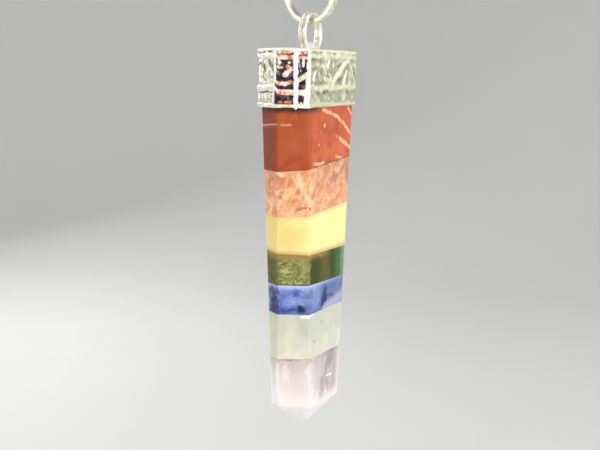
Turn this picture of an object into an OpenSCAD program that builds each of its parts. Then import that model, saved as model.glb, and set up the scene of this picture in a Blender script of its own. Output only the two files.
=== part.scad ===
// Pendant of seven bonded stones, ground to one six-sided point that narrows downwards.
// The stones stand in a stamped cap, whose soldered eye hangs in a jump ring.
// The origin is at the inside top of the jump ring, where a chain runs through. +Z is up,
// and the wide front side looks to -Y. A depth is measured down from the cap's lower rim.

/* [Cap] */
// Height of the cap, top plate to lower rim
cap_height = 6; // [5.5:0.1:6.5]
// Width of the cap over its rims, side ridge to side ridge
cap_width = 15.2; // [15:0.1:15.6]
// Thickness of the cap over its rims, wide side to wide side
cap_thickness = 6.3; // [6.2:0.1:6.5]
// Thickness of the sheet
sheet = 0.22; // [0.15:0.01:0.24]
// Thickness of the top plate
plate = 0.35; // [0.3:0.05:0.6]
// How far rims, ribs and scroll stand out of the sheet
relief = 0.12; // [0.08:0.01:0.14]
// Width of the lapped seam
seam_width = 0.42; // [0.3:0.02:0.5]
// Place of the lapped seam on its side, from the middle of the side
seam_place = 0.46; // [0.42:0.02:0.6]

/* [Scroll] */
// Height of the scroll's middle line above the lower rim
scroll_mid = 3.75; // [3.6:0.05:3.9]
// How far the stem swings up and down from its middle line
stem_swing = 0.9; // [0.7:0.05:0.95]
// Width of the stem
stem_width = 0.38; // [0.3:0.02:0.44]
// Length of a leaf
leaf_length = 0.85; // [0.6:0.05:1]
// Radius of a bead in the lower border
bead_radius = 0.19; // [0.14:0.01:0.2]
// Distance from bead to bead
bead_pitch = 0.62; // [0.5:0.02:0.8]

/* [Eye] */
// Outer diameter of the eye
eye_diameter = 4.1; // [3.9:0.1:4.4]
// Wire of each of the eye's two turns
eye_wire = 0.46; // [0.4:0.02:0.5]
// How far the eye is sunk in the top plate
eye_sunk = 0.12; // [0.08:0.02:0.2]
// Place of the eye along the cap's width
eye_place = 0.25; // [0:0.05:0.5]

/* [Jump ring] */
// Outer diameter of the jump ring
ring_diameter = 6.3; // [6:0.1:7]
// Thickness of the ring's wire, seen along the ring's axis
ring_thick = 0.72; // [0.6:0.02:0.76]
// Width of the ring's wire, along the ring's axis
ring_wide = 0.84; // [0.7:0.02:0.86]
// Distance from the middle of the ring's wire up to the arch of the eye that hangs on it
hang = 0.5; // [0.48:0.01:0.6]

/* [Stones] */
// Depth of the ridges' lower ends, where the point begins
shoulder_depth = 34.4; // [33:0.1:35]
// Depth of the tip before it is blunted
tip_depth = 37.5; // [37:0.1:39]
// Gap between two stones, filled with glue
glue = 0.03; // [0.02:0.01:0.05]
// Gap between the first stone and the sheet round it
seat_gap = 0.04; // [0.03:0.01:0.06]

/* [Hidden] */
$fn = 48;

// The six ground sides in order round the point
// columns: the direction it looks to, distance from the axis at the rim, and at the shoulders
SIDES = [
    [150, 6.20, 4.98],
    [210, 6.20, 3.99],
    [270, 2.77, 2.30],
    [330, 6.20, 4.46],
    [ 30, 6.20, 4.43],
    [ 90, 2.74, 2.05]
];
LOOKS_TO = 0;
AT_RIM = 1;
AT_SHOULDER = 2;

// The glued joints between the stones, the shoulder line and the blunt end of the tip
// columns: depth on the axis, rise towards +X in degrees, rise towards +Y in degrees
RED_ORANGE   = [ 6.29,  3.3, -2.0];
ORANGE_YELLOW = [11.41,  1.6, -1.9];
YELLOW_GREEN = [16.03, -3.7,  2.3];
GREEN_BLUE   = [19.71, -5.1, -1.3];
BLUE_WHITE   = [22.99, -3.7, -0.2];
WHITE_VIOLET = [28.42, -5.1, -1.8];
SHOULDER     = [shoulder_depth, -6.0, 1.0];
BLUNT_END    = [tip_depth - 0.35, 16, 12];

// Distances of the cap's faces from its axis, on the four bevels and on the two wide sides
rim_bevel = cap_width / 2 * cos(30);
rim_wide = cap_thickness / 2;
sheet_bevel = rim_bevel - relief;
sheet_wide = rim_wide - relief;
hollow_bevel = sheet_bevel - sheet;
hollow_wide = sheet_wide - sheet;
stone_top = cap_height - plate - seat_gap;

// Heights in the cap, measured up from its lower rim
// columns: lower edge, upper edge
RIM_LOW   = [0, 0.42];
RIB_LOW   = [1.50, 1.84];
RIB_MID   = [2.24, 2.50];
RIB_HIGH  = [5.02, 5.34];
RIM_HIGH  = [cap_height - 0.32, cap_height];
bead_height = 0.95;

// The swings of the scroll's stem on each side, counted round the cap from the front
// columns: number of the first swing, how many there are
SWINGS = [[8, 1], [9, 1], [0, 3], [3, 1], [4, 1], [5, 3]];
FIRST = 0;
HOW_MANY = 1;

// How far scroll, beads and seam stand out of the sheet, a hair less than the rims
motif_relief = relief * 0.96;

// The three leaves in the hollow of a swing: angle and distance from one to the next,
// size of the outer two, and gap between their stalks and the turn of the stem
LEAF_ANGLE = 42;
LEAF_STEP = 0.24;
OUTER_LEAF = 0.8;
STALK_GAP = 0.05;

// Places on the hanging line
ring_radius = (ring_diameter - ring_thick) / 2;
ring_mid_z = -(ring_diameter / 2 - ring_thick);
hang_z = ring_mid_z - ring_radius;
eye_mid_z = hang_z + hang - (eye_diameter / 2 - eye_wire);
cap_top_z = eye_mid_z - eye_diameter / 2 + eye_sunk;
rim_z = cap_top_z - cap_height;

// The corner where two planes meet that stand on the directions a and b at the distances p and q
function corner(a, p, b, q) =
    [p * sin(b) - q * sin(a), q * cos(a) - p * cos(b)] / sin(b - a);

// Outline of the cap for a distance of its bevels and one of its wide sides
function cap_outline(bevel, wide) = [
    for (k = [0:5])
        let (before = SIDES[(k + 5) % 6][LOOKS_TO], after = SIDES[k][LOOKS_TO])
        corner(before, before % 180 == 90 ? wide : bevel, after, after % 180 == 90 ? wide : bevel)
];

SHEET_OUTLINE = cap_outline(sheet_bevel, sheet_wide);

// Distance of a side from the axis at a depth; above the rim the stone is straight
function side_at(side, depth) =
    side[AT_RIM] + (side[AT_SHOULDER] - side[AT_RIM]) * max(depth, 0) / shoulder_depth;

// The point of ridge k at a depth, where the side before it and the side k meet
function ridge(k, depth) =
    let (before = SIDES[(k + 5) % 6], after = SIDES[k % 6],
         xy = corner(before[LOOKS_TO], side_at(before, depth), after[LOOKS_TO], side_at(after, depth)))
    [xy[0], xy[1], -depth];

// Height of a point above a cut, and the point of the line from a to b that lies in the cut
function above(p, cut) = p[2] + cut[0] - tan(cut[1]) * p[0] - tan(cut[2]) * p[1];
function meet(a, b, cut) = a + (b - a) * above(a, cut) / (above(a, cut) - above(b, cut));

// A cut moved down by a distance
function lowered(cut, by) = [cut[0] + by, cut[1], cut[2]];

// The six points where a cut meets the ridges, the six at one depth, and the six of the blunt end
function ring_on_cut(cut) = [for (k = [0:5]) meet(ridge(k, 0), ridge(k, shoulder_depth), cut)];
function ring_at(depth) = [for (k = [0:5]) ridge(k, depth)];
function ring_at_tip() = [for (p = ring_on_cut(SHOULDER)) meet(p, [0, 0, -tip_depth], BLUNT_END)];

// A closed solid through rings of six points each, from the highest ring to the lowest
module rings_solid(rings) {
    last = len(rings) - 1;
    sides = [
        for (r = [0:last - 1], k = [0:5])
            [6 * r + k, 6 * r + (k + 1) % 6, 6 * (r + 1) + (k + 1) % 6, 6 * (r + 1) + k]
    ];
    polyhedron(
        points = [for (ring = rings) each ring],
        faces = concat([[5, 4, 3, 2, 1, 0]], sides, [[for (k = [0:5]) 6 * last + k]])
    );
}

// Moves a piece from the middle of the cap's lower rim to its place under the ring
module hung() {
    translate([-eye_place, 0, rim_z]) children();
}

// A stone between two glued joints
module stone(upper, lower) {
    hung() rings_solid([ring_on_cut(lowered(upper, glue / 2)), ring_on_cut(lowered(lower, -glue / 2))]);
}

module red_stone() {
    color([0.62, 0.27, 0.16])
        hung() rings_solid([ring_at(-stone_top), ring_at(0), ring_on_cut(lowered(RED_ORANGE, -glue / 2))]);
}

module orange_stone() {
    color([0.80, 0.53, 0.42]) stone(RED_ORANGE, ORANGE_YELLOW);
}

module yellow_stone() {
    color([0.97, 0.88, 0.56]) stone(ORANGE_YELLOW, YELLOW_GREEN);
}

module green_stone() {
    color([0.42, 0.45, 0.22]) stone(YELLOW_GREEN, GREEN_BLUE);
}

module blue_stone() {
    color([0.45, 0.52, 0.80]) stone(GREEN_BLUE, BLUE_WHITE);
}

module white_stone() {
    color([0.87, 0.88, 0.80]) stone(BLUE_WHITE, WHITE_VIOLET);
}

module violet_point() {
    color([0.88, 0.82, 0.86])
        hung() rings_solid([ring_on_cut(lowered(WHITE_VIOLET, glue / 2)), ring_on_cut(SHOULDER), ring_at_tip()]);
}

// A band round the cap between two heights, as far out as the rims
module cap_band(heights) {
    translate([0, 0, heights[0]]) linear_extrude(heights[1] - heights[0]) difference() {
        polygon(cap_outline(rim_bevel, rim_wide));
        polygon(cap_outline(hollow_bevel, hollow_wide));
    }
}

// The sheet folded round the stone, closed by the top plate
module cap_shell() {
    difference() {
        linear_extrude(cap_height) polygon(SHEET_OUTLINE);
        translate([0, 0, -1]) linear_extrude(cap_height - plate + 1)
            polygon(cap_outline(hollow_bevel, hollow_wide));
    }
}

// Puts a flat drawing on side k of the cap: its X to the right of the side's middle seen from
// outside, its Y up from the lower rim, raised from inside the sheet to the height of the relief
module raised_on(k) {
    middle = (SHEET_OUTLINE[k] + SHEET_OUTLINE[(k + 1) % 6]) / 2;
    translate([middle[0], middle[1], 0])
        rotate([0, 0, SIDES[k][LOOKS_TO]])
            translate([-sheet / 2, 0, 0])
                rotate([90, 0, 90])
                    linear_extrude(sheet / 2 + motif_relief) children();
}

// Width of side k of the sheet
function side_width(k) = norm(SHEET_OUTLINE[(k + 1) % 6] - SHEET_OUTLINE[k]);

// One swing of the stem over a span: an arc of a ring, bulging up
module stem_swing_shape(span) {
    radius = span * span / (8 * stem_swing) + stem_swing / 2;
    intersection() {
        translate([0, stem_swing - radius]) difference() {
            circle(radius + stem_width / 2, $fn = 72);
            circle(radius - stem_width / 2, $fn = 72);
        }
        translate([-span / 2, -stem_width / 2]) square([span, 2 * stem_swing]);
    }
}

// A pointed leaf, standing on its stalk end, between two arcs of a circle
module leaf() {
    arc_radius = leaf_length * 0.62;
    half_width = leaf_length * 0.17;
    translate([0, leaf_length / 2]) intersection() {
        translate([half_width - arc_radius, 0]) circle(arc_radius);
        translate([arc_radius - half_width, 0]) circle(arc_radius);
    }
}

// A swing of the stem with three leaves in its hollow, upright or turned over
module vine(span, turned_over) {
    mirror([0, turned_over ? 1 : 0]) {
        stem_swing_shape(span);
        for (fan = [-1:1])
            translate([fan * LEAF_STEP, -stem_swing - STALK_GAP])
                rotate(-fan * LEAF_ANGLE)
                    scale(fan == 0 ? 1 : OUTER_LEAF) leaf();
    }
}

// The scroll on side k, whose swings bulge up and down by turns all round the cap
module scroll_on(k) {
    swings = SWINGS[k][HOW_MANY];
    span = side_width(k) / swings;
    raised_on(k) for (n = [0:swings - 1])
        translate([(n - (swings - 1) / 2) * span, scroll_mid])
            vine(span, (SWINGS[k][FIRST] + n) % 2 == 1);
}

// The row of beads on side k
module beads_on(k) {
    count = floor((side_width(k) - bead_radius) / bead_pitch);
    raised_on(k) for (n = [0:count - 1])
        translate([(n - (count - 1) / 2) * bead_pitch, bead_height]) circle(bead_radius, $fn = 24);
}

// The lapped seam of the sheet, with its pointed lower end
module seam() {
    seam_side = 1;
    point_length = 0.2;
    raised_on(seam_side) translate([seam_place, 0]) polygon([
        [-seam_width / 2, 0], [0, -point_length], [seam_width / 2, 0],
        [seam_width / 2, cap_height], [-seam_width / 2, cap_height]
    ]);
}

// The eye of two turns side by side, and the solder round its foot
module eye() {
    turn_offset = eye_wire * 0.42;
    foot_radius = 1.35;
    foot_height = 0.34;
    foot_edge = 0.02;
    translate([0, 0, eye_diameter / 2 - eye_sunk]) rotate([90, 0, 0]) rotate_extrude($fn = 96)
        translate([(eye_diameter - eye_wire) / 2, 0]) {
            translate([0, turn_offset]) circle(d = eye_wire);
            translate([0, -turn_offset]) circle(d = eye_wire);
        }
    translate([0, 0, -plate / 2]) rotate_extrude() difference() {
        square([foot_radius, plate / 2 + foot_height]);
        translate([foot_radius, plate / 2 + foot_height]) circle(foot_height - foot_edge);
    }
}

module cap() {
    color([0.80, 0.80, 0.74]) hung() {
        cap_shell();
        for (band = [RIM_LOW, RIB_LOW, RIB_MID, RIB_HIGH, RIM_HIGH]) cap_band(band);
        for (k = [0:5]) {
            scroll_on(k);
            beads_on(k);
        }
        seam();
        translate([eye_place, 0, cap_height]) eye();
    }
}

// Section of the ring's wire, square with rounded corners
module wire_section() {
    round = 0.3;
    square([ring_thick - 2 * round, ring_wide], center = true);
    square([ring_thick, ring_wide - 2 * round], center = true);
    for (x = [-1, 1], y = [-1, 1])
        translate([x * (ring_thick / 2 - round), y * (ring_wide / 2 - round)]) circle(round);
}

module jump_ring() {
    color([0.84, 0.84, 0.80])
        translate([0, 0, ring_mid_z]) rotate([0, 90, 0])
            rotate_extrude($fn = 96) translate([ring_radius, 0]) wire_section();
}

jump_ring();
cap();
red_stone();
orange_stone();
yellow_stone();
green_stone();
blue_stone();
white_stone();
violet_point();
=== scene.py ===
"""A pendant of seven bonded stones in a stamped silver cap, hung by its eye from a jump ring.

Shapes are worked out in the millimetres of the part's own frame, and become metres where their
meshes are made. The origin is the inside top of the jump ring, +Z is up, and the wide front side
looks to -Y.
"""
import logging
import math
from dataclasses import dataclass, field
from enum import Enum
from functools import partial, reduce
from itertools import product

import bpy
import numpy as np
from mathutils import Matrix, Vector


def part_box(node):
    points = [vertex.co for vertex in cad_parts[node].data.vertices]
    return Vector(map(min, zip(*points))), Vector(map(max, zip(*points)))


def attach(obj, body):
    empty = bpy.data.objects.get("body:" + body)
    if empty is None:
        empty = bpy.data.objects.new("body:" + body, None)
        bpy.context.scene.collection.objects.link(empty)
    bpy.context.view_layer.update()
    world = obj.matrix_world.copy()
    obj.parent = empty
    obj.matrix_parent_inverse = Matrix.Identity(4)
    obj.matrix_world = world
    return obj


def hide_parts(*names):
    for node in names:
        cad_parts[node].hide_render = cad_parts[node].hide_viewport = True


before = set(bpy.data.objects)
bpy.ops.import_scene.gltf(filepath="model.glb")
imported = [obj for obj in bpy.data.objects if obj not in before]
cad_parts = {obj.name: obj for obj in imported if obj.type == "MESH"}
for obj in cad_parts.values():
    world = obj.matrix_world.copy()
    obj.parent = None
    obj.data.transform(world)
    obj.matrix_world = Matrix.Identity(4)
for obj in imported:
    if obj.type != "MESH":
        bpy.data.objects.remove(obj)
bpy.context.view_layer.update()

Array = np.ndarray
Colour = tuple[float, float, float]
Place = tuple[float, float, float]
Span = tuple[float, float]
Socket = bpy.types.NodeSocket
Value = Socket | float | Colour
Layers = tuple[tuple[float, float, int], ...]
Curve = tuple[tuple[float, ...], tuple[float, ...]]

MM = 0.001
LOG = logging.getLogger("pendant")


class Body(Enum):
    """The bodies that pieces ride on."""

    RING = "ring"
    PENDANT = "pendant"


class Side(Enum):
    """The six sides of cap and stones, in order round the point from the left rear bevel."""

    LEFT_REAR = 0
    LEFT_FRONT = 1
    FRONT = 2
    RIGHT_FRONT = 3
    RIGHT_REAR = 4
    REAR = 5


def srgb(red: int, green: int, blue: int) -> Colour:
    """Turns a display colour of 0 to 255 into the linear colour that shaders take.

    Args:
        red: The red part.
        green: The green part.
        blue: The blue part.

    Returns:
        The three linear parts, each from 0 to 1.
    """
    parts = (red / 255, green / 255, blue / 255)
    return tuple(p / 12.92 if p <= 0.04045 else ((p + 0.055) / 1.055) ** 2.4 for p in parts)


def soft_step(low: float, high: float, value: Array) -> Array:
    """Rises from 0 at low to 1 at high with level ends: t squared times 3 minus 2 t.

    Args:
        low: Where the rise begins.
        high: Where it ends.
        value: The numbers to turn.

    Returns:
        Numbers from 0 to 1 in the shape of value.
    """
    t = np.clip((value - low) / (high - low), 0.0, 1.0)
    return t * t * (3.0 - 2.0 * t)


# Whole numbers that scramble a lattice corner and a seed into a number from 0 to LOW_BITS.
AXIS_PRIMES = (73856093, 19349663, 83492791)
SEED_PRIME = 668265263
MIXERS = ((15, 739982445), (12, 695872825))
LOW_BITS = 0x7FFFFFFF


def lattice_noise(points: Array, cell: float, seed: int) -> Array:
    """Smooth noise: hashed numbers at the corners of a lattice, blended by soft steps between them.

    Args:
        points: Places in millimetres, the last axis being x, y and z.
        cell: Size of a lattice cell in millimetres.
        seed: Number of the pattern.

    Returns:
        Numbers from -1 to 1, one for each place.
    """
    grid = points / cell
    base = np.floor(grid).astype(np.int64)
    part = grid - base
    part = part * part * (3.0 - 2.0 * part)
    total = np.zeros(points.shape[:-1])
    for corner in product((0, 1), repeat=3):
        key = (base + np.array(corner)) * np.array(AXIS_PRIMES)
        mixed = (key[..., 0] ^ key[..., 1] ^ key[..., 2] ^ (seed * SEED_PRIME)) & LOW_BITS
        for shift, factor in MIXERS:
            mixed = ((mixed ^ (mixed >> shift)) * factor) & LOW_BITS
        weight = np.prod(np.where(np.array(corner) == 1, part, 1.0 - part), axis=-1)
        total += weight * (mixed / LOW_BITS * 2.0 - 1.0)
    return total


def layered_noise(points: Array, layers: Layers) -> Array:
    """Sum of smooth noises.

    Args:
        points: Places in millimetres, the last axis being x, y and z.
        layers: Strength, size of a cell and number of the pattern, for each noise.

    Returns:
        The sum, one number for each place.
    """
    return sum(strength * lattice_noise(points, cell, seed) for strength, cell, seed in layers)


def side_lengths(corners: Array) -> Array:
    """Length of each side of a closed outline, from its corner to the next."""
    return np.linalg.norm(np.roll(corners, -1, axis=0) - corners, axis=1)


WINDOW_SAMPLES = 9


def corner_shares(lengths: Array, stations: Array, window: float) -> Array:
    """How a station on a closed outline mixes the outline's corners.

    A station between two corners takes them in proportion to its nearness. The mix is averaged
    over the window to either side, which rounds each corner by about the window's length.

    Args:
        lengths: Length of each side, from its corner to the next.
        stations: Lengths along the outline at which the columns lie.
        window: Half the length that is averaged.

    Returns:
        A table with a row for each station and a column for each corner.
    """
    ends = np.concatenate([[0.0], np.cumsum(lengths)])
    places = (stations[:, None] + np.linspace(-window, window, WINDOW_SAMPLES)) % ends[-1]
    side = np.clip(np.searchsorted(ends, places, side="right") - 1, 0, len(lengths) - 1)
    part = ((places - ends[side]) / lengths[side])[..., None]
    choose = np.eye(len(lengths))
    return (choose[side] * (1.0 - part) + choose[(side + 1) % len(lengths)] * part).mean(axis=1)


def grid_normals(points: Array) -> Array:
    """Outward normals of a grid that is closed along its columns.

    The normal is the cross product of the step down the rows and the step round the columns.

    Args:
        points: Grid of places, rows by columns by x, y and z.

    Returns:
        Unit vectors in the same shape.
    """
    down = np.gradient(points, axis=0)
    around = np.roll(points, -1, axis=1) - np.roll(points, 1, axis=1)
    normal = np.cross(down, around)
    return normal / np.maximum(np.linalg.norm(normal, axis=-1, keepdims=True), 1e-12)


@dataclass
class Surface:
    """A surface in millimetres, with numbers that its material reads at each point."""

    points: Array
    quads: Array
    triangles: Array = field(default_factory=lambda: np.empty((0, 3), dtype=np.int64))
    marks: dict[str, Array] = field(default_factory=dict)


def ring_faces(above: Array, below: Array) -> Array:
    """Quads between closed rings of points, which face the way that the grid's normals point.

    Args:
        above: Numbers of the points of the upper rings, rows by columns.
        below: Those of the lower rings in the same shape.

    Returns:
        Four numbers for each quad.
    """
    corners = (above, below, np.roll(below, -1, axis=1), np.roll(above, -1, axis=1))
    return np.stack(corners, axis=-1).reshape(-1, 4)


def fan_faces(pole: int, ring: Array) -> Array:
    """Triangles from the point with the pole's number to each side of a closed ring."""
    return np.stack([np.full(len(ring), pole), ring, np.roll(ring, -1)], axis=-1)


def capped_tube(rows: Array, marks: dict[str, Array] | None = None) -> Surface:
    """Closes a grid round its columns, and each of its ends with a fan to the end row's middle.

    Args:
        rows: Grid of places, rows by columns by x, y and z.
        marks: Numbers for the material, each rows by columns.

    Returns:
        A closed surface with its faces outwards.
    """
    index = np.arange(rows[..., 0].size).reshape(rows.shape[:2])
    quads = ring_faces(index[:-1], index[1:])
    last_fan = fan_faces(index.size + 1, index[-1])[:, ::-1]
    triangles = np.concatenate([fan_faces(index.size, index[0]), last_fan])
    poles = np.stack([rows[0].mean(axis=0), rows[-1].mean(axis=0)])
    flat_marks = {
        name: np.concatenate([mark.ravel(), [mark[0].mean(), mark[-1].mean()]])
        for name, mark in (marks or {}).items()
    }
    return Surface(np.concatenate([rows.reshape(-1, 3), poles]), quads, triangles, flat_marks)


def round_top(aside: Array) -> Array:
    """Height of a half circle: the root of 1 minus the square of the distance from its middle."""
    return np.sqrt(np.clip(1.0 - aside * aside, 0.0, 1.0))


def from_stroke(around: Array, up: Array, stroke: list[float]) -> Array:
    """Distance of places from a stroke's middle line, 1 at its edge.

    It is the distance to the nearest point between the stroke's ends, in half widths there.

    Args:
        around: Length round the outline.
        up: Height.
        stroke: Both measures of its start and of its end, and its half width at each.

    Returns:
        The distances.
    """
    x0, z0, x1, z1, first, last = stroke
    step = np.array([x1 - x0, z1 - z0])
    share = ((around - x0) * step[0] + (up - z0) * step[1]) / max(step @ step, 1e-6)
    share = np.clip(share, 0.0, 1.0)
    distance = np.hypot(around - x0 - share * step[0], up - z0 - share * step[1])
    return distance / (first + (last - first) * share)


def full_turn(steps: int) -> Array:
    """Angles of even steps round a whole turn, in radians."""
    return np.linspace(0.0, 2.0 * np.pi, steps, endpoint=False)


def make_object(name: str, surface: Surface, material: bpy.types.Material) -> bpy.types.Object:
    """Makes a smooth-shaded Blender object at the origin from a surface.

    Args:
        name: The object's name.
        surface: Its shape in millimetres.
        material: What it is dressed in.

    Returns:
        The new object, linked to the scene.
    """
    mesh = bpy.data.meshes.new(name)
    corners = np.concatenate([surface.quads.ravel(), surface.triangles.ravel()]).astype(np.int32)
    quad_starts = np.arange(len(surface.quads)) * 4
    starts = np.concatenate([quad_starts, surface.quads.size + np.arange(len(surface.triangles)) * 3])
    mesh.vertices.add(len(surface.points))
    mesh.vertices.foreach_set("co", (surface.points * MM).astype(np.float32).ravel())
    mesh.loops.add(len(corners))
    mesh.loops.foreach_set("vertex_index", corners)
    mesh.polygons.add(len(starts))
    mesh.polygons.foreach_set("loop_start", starts.astype(np.int32))
    mesh.update(calc_edges=True)
    mesh.polygons.foreach_set("use_smooth", np.ones(len(starts), dtype=bool))
    for mark_name, mark in surface.marks.items():
        layer = mesh.attributes.new(mark_name, "FLOAT", "POINT")
        layer.data.foreach_set("value", mark.astype(np.float32))
    mesh.materials.append(material)
    made = bpy.data.objects.new(name, mesh)
    bpy.context.scene.collection.objects.link(made)
    return made


def finish_piece(made: bpy.types.Object, body: Body, slot: str, *nodes: str) -> None:
    """Lets a piece ride on its body and stand for its CAD nodes, and reports it.

    Args:
        made: The piece.
        body: What it moves with.
        slot: The record's material slot, which is only reported.
        nodes: The CAD nodes that it stands for, if any.
    """
    if nodes:
        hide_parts(*nodes)
    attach(made, body.value)
    faces = len(made.data.polygons)
    LOG.info("%s: %d faces, rides on %s, slot %s", made.name, faces, body.value, slot)


# Shares of a line's half width and of a spot's radius within which it has its full strength.
LINE_CORE = 0.25
SPOT_CORE = 0.35

# The Mix node's sockets for share, first and second colour and result, whose names aren't unique.
MIX_INPUTS = (0, 6, 7)
MIX_RESULT = 2


class Paint:
    """Builds one node-based material, whose patterns are measured in millimetres."""

    def __init__(self, name: str) -> None:
        """Starts a material with one main shader, and with the position on the object.

        Args:
            name: The material's name.
        """
        self.material = bpy.data.materials.new(name)
        self.material.use_nodes = True
        self.tree = self.material.node_tree
        self.tree.nodes.clear()
        self.shader = self.tree.nodes.new("ShaderNodeBsdfPrincipled")
        output = self.tree.nodes.new("ShaderNodeOutputMaterial")
        self.tree.links.new(self.shader.outputs["BSDF"], output.inputs["Surface"])
        self.at = self.place()

    def feed(self, socket: Socket, value: Value) -> None:
        """Links a value into a socket, or sets it there.

        Args:
            socket: The input.
            value: A node's output, a number or a colour.
        """
        if isinstance(value, Socket):
            self.tree.links.new(value, socket)
        elif socket.type == "RGBA":
            socket.default_value = (*value, 1.0)
        else:
            socket.default_value = value

    def add(self, kind: str, inputs: dict[str | int, Value], **settings: str | bool) -> bpy.types.Node:
        """Adds a node.

        Args:
            kind: Its Blender type, without the leading ShaderNode.
            inputs: What goes into its sockets, by name or number.
            settings: Its own properties.

        Returns:
            The node.
        """
        node = self.tree.nodes.new("ShaderNode" + kind)
        for key, value in settings.items():
            setattr(node, key, value)
        for key, value in inputs.items():
            self.feed(node.inputs[key], value)
        return node

    def shade(self, values: dict[str, Value]) -> None:
        """Feeds sockets of the main shader, by their names."""
        for name, value in values.items():
            self.feed(self.shader.inputs[name], value)

    def place(
        self, centre: Place = (0, 0, 0), stretch: Place = (1, 1, 1), turn: Place = (0, 0, 0)
    ) -> Socket:
        """Position on the object in millimetres.

        Args:
            centre: The point that becomes the pattern's origin.
            stretch: Factors on the turned axes, below 1 for a pattern drawn out along them.
            turn: Turns of the pattern about the axes in degrees.

        Returns:
            The position, turned and stretched about the centre.
        """
        source = self.add("TexCoord", {}).outputs["Object"]
        inputs = {
            "Vector": source,
            "Location": tuple(c * MM for c in centre),
            "Rotation": tuple(math.radians(a) for a in turn),
            "Scale": tuple(MM / s for s in stretch),
        }
        return self.add("Mapping", inputs, vector_type="TEXTURE").outputs[0]

    def mark(self, name: str) -> Socket:
        """Reads one of the numbers that the mesh holds at each point."""
        return self.add("Attribute", {}, attribute_name=name).outputs["Fac"]

    def near_joint(self, reach: float, top: float = 1.0) -> Socket:
        """Falls from top at the stone's joints to 0 at the reach."""
        return self.rise(self.mark("from_joint"), reach, 0.0, top)

    def noise(
        self, at: Socket, scale: float, detail: float = 3.0, rough: float = 0.55, warp: float = 0.0
    ) -> Socket:
        """Cloudy noise from 0 to 1, mostly between 0.3 and 0.7.

        Args:
            at: Position.
            scale: Clouds in a millimetre.
            detail: How many finer layers are added.
            rough: How strong the finer layers are.
            warp: How much it is swirled.

        Returns:
            The noise.
        """
        inputs = {"Vector": at, "Scale": scale, "Detail": detail, "Roughness": rough}
        return self.add("TexNoise", {**inputs, "Distortion": warp}).outputs[0]

    def calc(self, operation: str, first: Value, second: Value = 0.0, clamp: bool = False) -> Socket:
        """One sum of two numbers, such as ADD, MULTIPLY or MAXIMUM."""
        return self.add("Math", {0: first, 1: second}, operation=operation, use_clamp=clamp).outputs[0]

    def vector(self, operation: str, first: Value, second: Value) -> bpy.types.Node:
        """One sum of two vectors."""
        return self.add("VectorMath", {0: first, 1: second}, operation=operation)

    def scaled(self, vector: Value, factor: Value) -> Socket:
        """A vector times a number."""
        return self.add("VectorMath", {0: vector, "Scale": factor}, operation="SCALE").outputs[0]

    def rise(self, value: Socket, low: float, high: float, top: float = 1.0) -> Socket:
        """Rises softly from 0 where the value is low to top where it is high; low may be above high."""
        inputs = {"Value": value, "From Min": low, "From Max": high, "To Min": 0.0, "To Max": top}
        return self.add("MapRange", inputs, interpolation_type="SMOOTHSTEP").outputs[0]

    def blend(self, share: Value, first: Value, second: Value) -> Socket:
        """Mixes two colours, share being how much of the second, from 0 to 1."""
        inputs = dict(zip(MIX_INPUTS, (share, first, second)))
        return self.add("Mix", inputs, data_type="RGBA").outputs[MIX_RESULT]

    def ramp(self, value: Socket, *stops: tuple[float, Colour]) -> Socket:
        """Colours along a scale.

        Args:
            value: Where on the scale.
            stops: Pairs of a place on the scale and its colour.

        Returns:
            The colour.
        """
        node = self.add("ValToRGB", {0: value})
        elements = node.color_ramp.elements
        while len(elements) < len(stops):
            elements.new(1.0)
        for element, (place, colour) in zip(elements, stops):
            element.position = place
            element.color = (*colour, 1.0)
        return node.outputs[0]

    def coats(self, colour: Value, *coats: tuple[Value, Value]) -> Value:
        """Lays colours over one another.

        Args:
            colour: The ground.
            coats: Pairs of a strength from 0 to 1 and a colour, from the lowest up.

        Returns:
            The colour on top.
        """
        for strength, coat in coats:
            colour = self.blend(strength, colour, coat)
        return colour

    def axis(self, at: Socket, name: str) -> Socket:
        """One of the three parts of a position, X, Y or Z."""
        return self.add("SeparateXYZ", {0: at}).outputs[name]

    def along(self, at: Socket, name: str, low: float, high: float, top: float = 1.0) -> Socket:
        """Rises softly from 0 to top where one part of a position goes from low to high."""
        return self.rise(self.axis(at, name), low, high, top)

    def shaken(self, at: Socket, scale: float, amount: float) -> Socket:
        """Moves a position by noise, so that what is drawn there gets a ragged edge.

        Args:
            at: Position in millimetres.
            scale: Wobbles in a millimetre.
            amount: How far it is moved at most, in millimetres.

        Returns:
            The moved position.
        """
        noise = self.add("TexNoise", {"Vector": at, "Scale": scale, "Detail": 2.0}).outputs["Color"]
        centred = self.vector("SUBTRACT", noise, (0.5, 0.5, 0.5)).outputs[0]
        return self.vector("ADD", at, self.scaled(centred, 2.0 * amount)).outputs[0]

    def stroke(self, at: Socket, path: tuple[Place, ...], width: float, top: float = 1.0) -> Socket:
        """A line drawn through the stone.

        The distance to each stretch is that to the nearest point between its ends, and the
        line is strongest where the least distance is 0 and fades out over its half width.

        Args:
            at: Position in millimetres.
            path: Points of the line in millimetres.
            width: Its width.
            top: Its greatest strength.

        Returns:
            Strength of the line.
        """
        distances = []
        for start, end in zip(path, path[1:]):
            stretch = Vector(end) - Vector(start)
            unit = tuple(stretch / stretch.length_squared)
            offset = self.vector("SUBTRACT", at, start).outputs[0]
            share = self.vector("DOT_PRODUCT", offset, unit).outputs["Value"]
            share = self.calc("ADD", share, 0.0, clamp=True)
            foot = self.scaled(tuple(stretch), share)
            distances.append(self.vector("DISTANCE", offset, foot).outputs["Value"])
        nearest = reduce(partial(self.calc, "MINIMUM"), distances)
        return self.rise(nearest, width / 2, width / 2 * LINE_CORE, top)

    def spot(self, at: Socket, middle: Place, radius: float, top: float = 1.0) -> Socket:
        """A round spot that falls from top near its middle to 0 at its radius."""
        distance = self.vector("DISTANCE", at, middle).outputs["Value"]
        return self.rise(distance, radius, radius * SPOT_CORE, top)

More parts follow.
